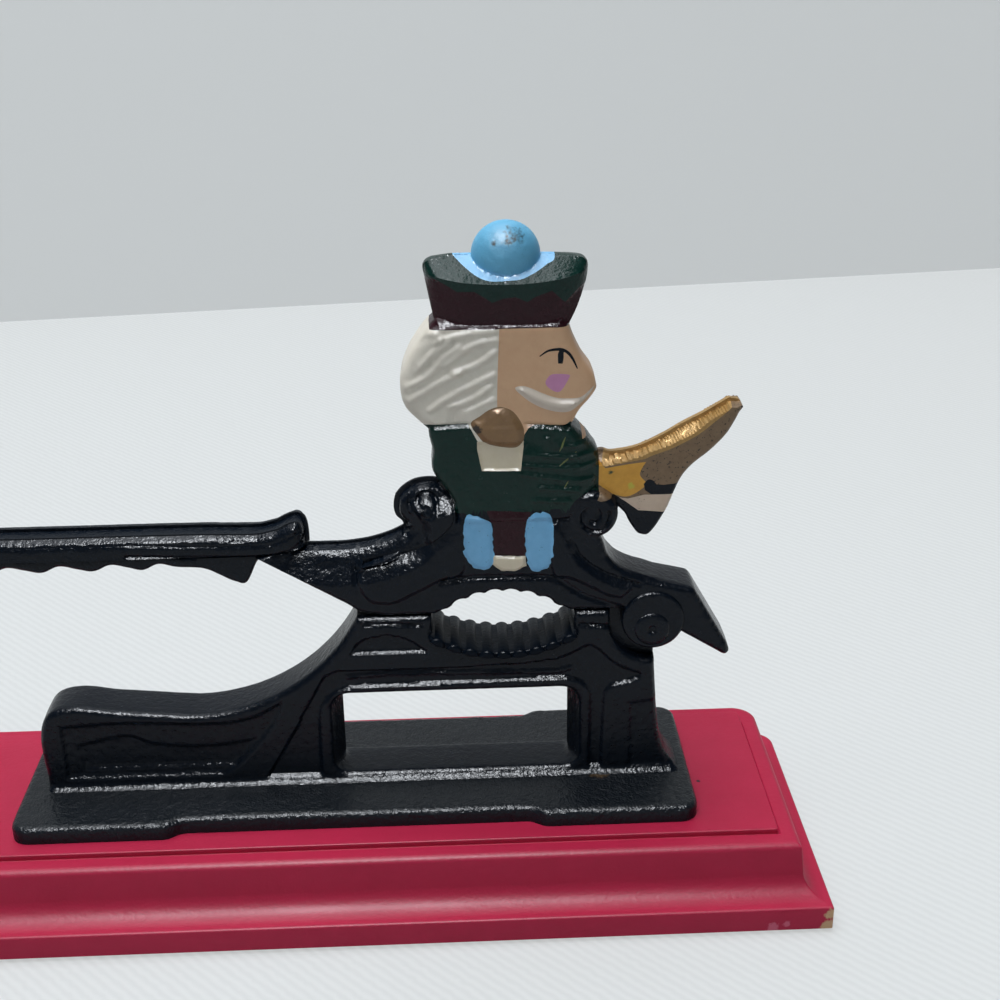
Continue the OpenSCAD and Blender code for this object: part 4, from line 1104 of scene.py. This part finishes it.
eye_outline = arc(SCROLL_EYE, EYE_R, 0, 351, 39)
lever_shapes = [
    form(arm_outline, WEB_RIM, arm_height),
    form(scroll_outline, 1.4, scroll_height),
    slab(arc(BOSS, BOSS_R, 0, 351, 39), WEB + 0.7, 0.7),
    slab(eye_outline, SCROLL_HALF, 1.6),
    slab(grip_outline, 3.5, 1.0, step=0.6),
    form(crown_outline, CROWN_ROLL, crown_height, step=0.6),
    form(coat_outline, 1.8, coat_height),
    slab(head_outline, WEB + 0.1, 2.4),
    form(hat_outline, 0.8, hat_height),
    form(arc(DOME, DOME_R, 0, 354, 59), DOME_R, dome_height),
    form(horn_outline, HORN_EDGE, horn_height),
]

# Low relief on both faces, as cast: bands that sweep down from the scrolls, volutes, hair, folds and face
band_left = curve([(-31.5, 9.5), (-31.0, 11.6), (-28.3, 12.8), (-22.1, 14.3), (-17.9, 14.8), (-13.9, 17.3),
                           (-10.9, 20.4), (-9.4, 23.5), (-7.4, 22.5), (-7.4, 14), (-8.4, 9.8), (-13.2, 8.2),
                           (-18.7, 5.4), (-23.2, 3.2), (-28.0, 3.4), (-30.7, 6.1)], loop=True)
band_right = joined(curve([(12, 22), (14.3, 17.1), (16.5, 12.9), (20.8, 9.2), (26.2, 6.6), (28.9, 5.9)]),
                    curve([(28.4, 5.2), (25.8, 2.8)]),
                    curve([(22.7, 3.5), (20, 5), (14.6, 8), (10.4, 9.6), (10.2, 21)]))


def volute(centre, first_r, last_r, start, sweep):
    """Points of a spiral; angles in degrees."""
    part = np.linspace(0, 1, 40)
    turn = np.radians(start + sweep * part)
    radius = first_r + (last_r - first_r) * part
    return at_jaw([centre]) + np.column_stack([radius * np.cos(turn), radius * np.sin(turn)])


HAIR_RIDGES = (
    [(-19, 52.6), (-15.2, 54.5), (-13, 56.5), (-11.1, 58.8), (-8, 60.8)],
    [(-15.9, 57), (-13.4, 59.8), (-9.9, 61.8)], [(-17.5, 62), (-14.3, 64), (-11.8, 62.8)],
    [(-9.3, 55.5), (-4.8, 57), (-1, 59.6)], [(-14.3, 47.6), (-10.5, 50.2), (-6.1, 52.5), (-1.2, 54.8)],
    [(-10.2, 48.2), (-6.1, 49.5), (-2, 52.2)], [(-18.4, 49.8), (-13.2, 52.9), (-8.1, 55.4)],
    [(-12.9, 61.9), (-7.9, 63.3), (-0.9, 64.1)], [(-11.1, 57.1), (-5.4, 61.1), (-0.7, 62.1)],
    [(-13.4, 45.3), (-8.3, 46.4), (-1.6, 49.4)])
FOLDS = (
    [(4.9, 39.4), (12.2, 38.9), (19.4, 39.5)], [(4.7, 37.4), (13.2, 36.6), (20, 36.9)],
    [(4.6, 34.9), (13.2, 34.1), (20.3, 34.4)], [(4.4, 33), (13.2, 31.5), (19.8, 31)],
    [(8, 29.7), (17.4, 28.8)], [(6.9, 26.9), (14.8, 26.4)])
moustache = curve([(3.1, 51.8), (4.6, 52.3), (6.5, 51.7), (9.0, 50.5), (11.5, 49.6), (14.0, 49.4),
    (16.5, 49.6), (18.4, 51.1), (19.3, 51.7), (18.1, 49.8), (16.2, 47.8), (14.0, 46.5), (11.2, 46.6),
    (8.1, 47.7), (5.3, 49.5)], loop=True)
chin_piece = curve([(-6.1, 44.4), (-4.2, 46.0), (-2.3, 47.3), (-0.1, 47.9), (2.1, 47.2), (3.6, 45.6),
    (4.8, 43.0), (4.6, 40.3), (3.1, 38.8), (-0.4, 39.1), (-3.1, 40.0), (-4.6, 41.7)], loop=True)
shirt = at_jaw([(-4.9, 40.5), (-4.9, 38.7), (-4.0, 33.9), (4.1, 33.7), (4.7, 39.2), (4.7, 40.5)])
trousers = at_jaw([(-3.1, 24.8), (6.1, 24.3), (5.5, 22.0), (5.0, 13.8), (-1.8, 14.3), (-1.9, 21.1)])
boots = at_jaw([(-2.0, 14.2), (5.0, 13.8), (5.1, 11.5), (2.9, 10.3), (-0.3, 10.5), (-2.2, 12.1)])
leg_left = curve([(-7.8, 23.1), (-6.2, 23.9), (-3.7, 23.0), (-2.2, 21.2), (-1.9, 15.5), (-2.3, 11.5),
    (-5.2, 11.1), (-7.5, 13.4), (-8.2, 16.9)], loop=True)
leg_right = curve([(8.1, 24.3), (10.7, 22.5), (10.7, 16.3), (10.4, 11.7), (7.5, 10.0), (5.5, 11.9),
    (5.0, 16.5), (5.3, 22.1)], loop=True)
zigzag = at_jaw([(-15.4, 74.9), (-14.5, 74.7), (-12.4, 74.6), (-10.3, 73.6), (-8.2, 72.3), (-4.9, 72.4),
    (-3.1, 71.3), (-1.3, 70.0), (1.1, 70.9), (3.3, 71.1), (5.7, 70.0), (7.2, 71.0), (10.6, 72.2),
    (13.3, 69.6), (16.0, 72.1), (18.5, 73.4)])
lever_reliefs = [
    panel(band_left, 0.7, 1.2),
    bead(band_edge, 0.8, -0.5, count=1),
    panel(band_right, 0.8, 1.1),
    bead(at_jaw([(14.8, 19), (15.3, 16.4), (17.2, 12.8), (21.2, 9.6), (26.6, 7.2), (29.7, 6.2)]), 0.7, -0.45),
    bead(at_jaw([(24.8, 10.9), (30.7, 7.3), (35.1, 6.6), (39.6, 5.7)]), 0.8, -0.5),
    bead(at_jaw([(-13.5, 8), (-10.8, 8.4), (-6.9, 9), (1.9, 8.9), (10.6, 8.4), (15.2, 5.6), (18.3, 3.5),
        (25.5, 0.8)]), 0.9, -0.5),
    bead(at_jaw([(-79.7, 18.4), (-65.9, 17.8), (-51.6, 17.4), (-47.7, 18.2), (-43.1, 20.2)]), 0.6, -0.25),
    bead(at_jaw([(-80.0, 15.8), (-66.1, 15.2), (-51.8, 15.0), (-46.0, 15.8), (-42.9, 17.4), (-41.7, 18.9)]),
        0.6, -0.45),
    bead(volute((-16.1, 26.0), 0.9, 3.7, -60, -540), 0.75, -0.55, count=1),
    bead(volute((19.4, 22.3), 0.9, 3.6, 240, 500), 0.65, -0.55, count=1),
    panel(joined(zigzag, at_jaw([(16, 64.7), (-14, 64.7)])), -0.45, 0.5),
    panel(moustache, 0.7, 1.3),
    panel(chin_piece, 0.8, 1.6),
    panel(shirt, -0.5, 0.5),
    panel(trousers, 0.35, 0.6),
    panel(boots, 0.45, 0.6),
    panel(leg_left, 0.35, 0.8),
    panel(leg_right, 0.35, 0.8),
    bead(at_jaw([(-14.5, 44), (-6.6, 44.2)]), 0.8, -0.5),
    bead(at_jaw([(5.4, 43.8), (14, 43)]), 0.8, -0.5),
    bead(at_jaw([(9.6, 40.6), (9.7, 40.6)]), 0.9, 0.4),
]
lever_reliefs += [bead(at_jaw(ridge), 1.1, 0.5) for ridge in HAIR_RIDGES]
lever_reliefs += [bead(at_jaw(fold), 0.8, 0.35) for fold in FOLDS]


def brushed(outline, amount=0.25, seed=1.0, size_mm=1.2):
    """The outline with a slightly unsteady edge, as a brush leaves it."""
    line = spread(outline, 0.5)
    shift = []
    for x, z in line:
        shift.append([noise.noise(Vector((x / size_mm, z / size_mm, seed + more))) for more in (0, 9)])
    return line + np.array(shift) * amount * 2


def stroke(line, width, thin=0.35):
    """Closed outline of a brush stroke that gets thinner at both ends."""
    p = spread(line, 0.5, loop=False)
    along = np.gradient(p, axis=0)
    along /= np.linalg.norm(along, axis=1)[:, None]
    side = np.column_stack([-along[:, 1], along[:, 0]])
    wide = width / 2 * (thin + (1 - thin) * np.sin(np.linspace(0, math.pi, len(p))))[:, None]
    return joined(p + side * wide, (p - side * wide)[::-1])


def at_front(x, z, y):
    """A place on the front face in metres, measured from the middle of the jaws."""
    return ((x + JAW[0]) * MM, -y * MM, (z + JAW[1] + DECK) * MM)


# Off-white enamel for the hair: soft and thick, with a few dark specks where it has chipped
hair_paint = painted("off_white_enamel", "#E3DCCE", "#D2CABA", 0.46, 0.5, 0.04, level=0.3,
    speckle=("#6B6458", 1.1, 0.76))
# Flesh enamel: a warm, even tone with a low sheen
skin_paint = painted("flesh_enamel", "#D2AC87", "#C79D79", 0.44, 0.5, 0.03, level=0.35)
# Bottle-green enamel: nearly black, with a wet gloss
green_paint = painted("bottle_green_enamel", "#07241F", "#0B2E28", 0.24, 0.5, 0.10, level=0.2)
# Maroon enamel: nearly black, a warm note under the hat
maroon_paint = painted("maroon_enamel", "#260912", "#300E18", 0.26, 0.5, 0.08, level=0.18)
# Sky-blue enamel: thin on the legs, so specks of the dark ground show
blue_paint = painted("sky_blue_enamel", "#5FA3CF", "#7DBBE2", 0.38, 0.5, 0.03, mottle_mm=2.0,
                     speckle=("#2D5A80", 0.9, 0.70))
# Ivory enamel on shirt and boots: a yellowed white
ivory_paint = painted("ivory_enamel", "#DDD2BC", "#CDBF9F", 0.4, 0.5, 0.03)
# Aged gold paint: brownish bronze powder with dark specks, a little metallic
gold_paint = painted("aged_gold_paint", "#82694C", "#634E37", 0.42, 0.45, 0.08, metallic=0.2, mottle_mm=1.6,
                     speckle=("#241C12", 0.6, 0.60))
# The same gold on the horn's upper facet, mixed lighter there as a painted highlight where the facet faces
# the light; it glitters
painted_highlight_gold = painted("gold_paint_with_painted_highlight", "#86683A", "#B8935A", 0.36, 0.45, 0.12, metallic=0.3,
                      level=0.35, mottle_mm=1.5, speckle=("#4A3A1E", 0.6, 0.64))
hand_marks = (("#B8AB3A", at_front(27.6, 28.4, 3.0), 0.0007, 0.0008),
              ("#2F3A1A", at_front(23.0, 32.0, 3.4), 0.0005, 0.0008))
# Bright gold paint on the hand: a clear yellow
bright_paint = painted("bright_gold_paint", "#D9A13A", "#B88324", 0.36, 0.45, 0.07, metallic=0.2,
                       mottle_mm=2.0, patches=hand_marks)
# Pink enamel: one soft dab on the cheek
pink_paint = painted("pink_enamel", "#C98BB2", "#B878A0", 0.45, 0.5, 0.02)
# Brown-gold paint below the chin, with a darker left side
brown_paint = painted("brown_gold_paint", "#8A6A45", "#6E5233", 0.4, 0.4, 0.04, metallic=0.2,
                      patches=(("#2A2018", at_front(-4.9, 43.2, 6.2), 0.0010, 0.0010),))
# Tan enamel on the cuff: dull, with dark specks
tan_paint = painted("tan_enamel", "#D6C0AA", "#C2AB93", 0.42, 0.5, 0.03, speckle=("#4A382A", 0.8, 0.68))
dome_chips = (("#1E2A28", at_front(-0.7, 81.2, 3.9), 0.0006, 0.0006),
              ("#1E2A28", at_front(3.0, 83.0, 3.5), 0.0008, 0.0040))
# Sky-blue enamel on the dome: a soft sheen, with dark chips
dome_paint = painted("sky_blue_enamel_chipped", "#5DA3C6", "#68B0D2", 0.42, 0.5, 0.05, level=0.3,
    mottle_mm=3.0, speckle=("#22302C", 0.7, 0.70), patches=dome_chips)
# Pearl-white enamel on the moustache: soft, with some of the flesh's warmth
pearl_paint = painted("pearl_white_enamel", "#D6CABB", "#C6B9A8", 0.42, 0.5, 0.02, level=0.3)
# Olive enamel: a few thin, stray brush lines on the coat
olive_paint = painted("olive_enamel", "#55601E", "#48521A", 0.4, 0.5, 0.02)
hand_paints = [cast_black, hair_paint, skin_paint, green_paint, maroon_paint, blue_paint, ivory_paint,
    gold_paint, painted_highlight_gold, bright_paint, pink_paint, brown_paint, tan_paint, dome_paint, pearl_paint,
    olive_paint]

splash = curve([(-9.7, 79.9), (-9.3, 79.0), (-7.2, 77.1), (-4.2, 75.1), (-1.5, 74.3), (1.9, 74.3),
                               (4.9, 74.6), (8.0, 75.8), (9.8, 76.8), (11.3, 77.5), (11.5, 79.1)])
dome_base = curve([(-6.5, 79.8), (-5.4, 78.2), (-3.0, 76.6), (0.0, 75.6), (3.3, 75.4), (6.1, 76.1),
    (7.9, 77.6), (8.8, 79.7)])
brow = curve([(8.1, 58.5), (9.7, 59.6), (11.5, 59.9), (12.8, 59.8), (14.0, 59.0), (14.9, 57.7), (15.8, 55.7)])
eye = curve([(12.7, 59.8), (12.4, 59.0), (12.4, 58.0), (12.3, 56.9)])
cheek = curve([(9.3, 52.7), (9.8, 54.0), (10.9, 54.7), (14.0, 54.5), (14.1, 53.8), (12.8, 51.5), (11.8, 50.8),
                       (10.4, 51.4)], loop=True)
collar = at_jaw([(-16, 44.2), (-6.8, 44.3), (-6.1, 43.2), (-4.0, 39), (4.1, 38.5), (4.9, 41.8), (5.7, 43.1),
                 (7.2, 43.8), (13.2, 43.4), (14.4, 44.2), (17, 41.5), (17, 34), (-16, 34)])
STRAY_LINES = ([(13.4, 41.0), (12.2, 37.8)], [(15.7, 37.7), (12.2, 34.6)], [(16.0, 34.5), (13.2, 29.6)])
facet = joined(horn_ridge[18:], at_jaw([(52, 46), (52, 50), (24, 42), (21, 33)]))
paint = [
    (green_paint, coat_outline),
    (hair_paint, head_outline),
    (skin_paint, joined(curve([(0.1, 66), (-0.2, 60), (-0.4, 55.8), (-0.6, 50), (-0.6, 46.4)]),
                       at_jaw([(0.4, 40), (24, 40), (24, 66)]))),
    (green_paint, collar),
    (ivory_paint, shirt),
    (brown_paint, chin_piece),
    (pearl_paint, moustache),
    (pink_paint, cheek),
    (cast_black, stroke(brow, 0.65)),
    (cast_black, stroke(eye, 1.2, 0.75)),
    *[(olive_paint, stroke(at_jaw(line), 0.4)) for line in STRAY_LINES],
    (green_paint, hat_outline),
    (maroon_paint, joined(zigzag, at_jaw([(16, 64.5), (-14, 64.5)]))),
    (blue_paint, splash),
    (dome_paint, joined(dome_base, arc(DOME, DOME_R + 0.1, 15, 165, 24))),
    (gold_paint, horn_outline),
    (green_paint, at_jaw([(14, 37.5), (20.7, 37.5), (20.7, 27.5), (19.5, 25), (14, 25)])),
    # The horn's upper facet takes the lighter gold: a painted highlight
    (painted_highlight_gold, facet),
    (bright_paint, joined(at_jaw([(20.7, 34.4), (20.7, 29)]),
                         curve([(23.8, 26.6), (26.8, 25.9), (29.4, 27.2), (30.8, 28.9), (29.4, 31.1),
                                        (30.6, 34.0)]),
                         at_jaw([(27, 33.6), (22, 32.8)]))),
    (tan_paint, at_jaw([(24.6, 25.9), (27, 25.4), (30.6, 26.2), (38, 26), (36.5, 21.6), (29.3, 22.3)])),
    (cast_black, joined(curve([(30.3, 28.8), (31.2, 29.8), (32.3, 29.5), (33, 28.6)]),
                        at_jaw([(34.6, 28.4), (38.5, 28.7), (38, 26.1), (32, 26.2), (30.6, 27.3)]))),
    (cast_black, at_jaw([(24, 26.6), (26.5, 24.8), (29.3, 22.5), (37, 21.7), (37, 14), (24, 14), (20, 26)])),
    (maroon_paint, brushed(trousers, 0.12, 3)),
    (ivory_paint, brushed(boots, 0.1, 4)),
    (blue_paint, brushed(leg_left, 0.3, 2)),
    (blue_paint, brushed(leg_right, 0.3, 7)),
]
coat_floor = JAW[1] + 24.4
fine_area = at_jaw([(-24, 8), (24, 8), (53, 16), (53, 50), (24, 50), (20, 88), (-20, 88), (-24, 50)])
slot_outline = joined(arc(PIN, SLOT_RADIUS, 0, 180, 40),
                      [PIN + (-SLOT_RADIUS, -SLOT_RADIUS), PIN + (SLOT_RADIUS, -SLOT_RADIUS)])
points, triangles = cast_faces(lever_shapes, [arch_outline], [(cast_black, slot_outline)] + paint, MESH_STEP,
    fine=fine_area, creases=(hat_lip, sleeve_crease))
half = heights(points, lever_shapes, lever_reliefs)
half = np.maximum(half - fall(distance(points, arch_outline, reach=1.5), ARCH_RIM), LEAST_HALF)
middle = points[triangles].mean(1)
tones = np.zeros(len(triangles), int)
for made, outline in paint:
    tones[inside(middle, outline)] = hand_paints.index(made)
on_scroll = inside(middle, scroll_outline) | inside(middle, eye_outline)
# Green that falls on the scrolls or below the coat stays black, as the arm is
tones[(tones == hand_paints.index(green_paint)) & (on_scroll | (middle[:, 1] < coat_floor))] = 0
lever = cast_object("lever_casting_painted", points, triangles, half, hand_paints, list(tones), slot_outline)
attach(lever, "lever")
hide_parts("lever_casting")


# ---- Pivot pin ----
# A steel rivet through fork and tongue, its ends spread, centre-punched and painted over with the lever.
# It is turned about its own axis: a low dome each side with a punch mark in the middle.
PIN_HEAD = 3.9
head_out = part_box("pivot_pin")[1][1] / MM
pin_section = [(0.05, head_out - 0.75), (0.55, head_out - 0.6), (1.05, head_out - 0.05),
    (1.5, head_out - 0.01), (2.6, head_out - 0.06), (3.4, head_out - 0.2), (PIN_HEAD - 0.05, head_out - 0.4),
    (PIN_HEAD, head_out - 0.55), (2.5, head_out - 0.6)]
pin_section += [(r, -y) for r, y in reversed(pin_section)]
PIN_SIDES = 48
turns = [2 * math.pi * k / PIN_SIDES for k in range(PIN_SIDES)]
points = [(PIN[0] + r * math.cos(turn), y, PIN[1] + DECK + r * math.sin(turn))
          for r, y in pin_section for turn in turns]
faces = tube(len(pin_section), PIN_SIDES)
faces += [tuple(range(PIN_SIDES)), tuple(range(len(points) - PIN_SIDES, len(points)))]
pin = plain_mesh("pivot_pin_painted", np.array(points) * MM, faces, [cast_black])
smooth_shade(pin, 50)
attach(pin, "lever")
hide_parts("pivot_pin")
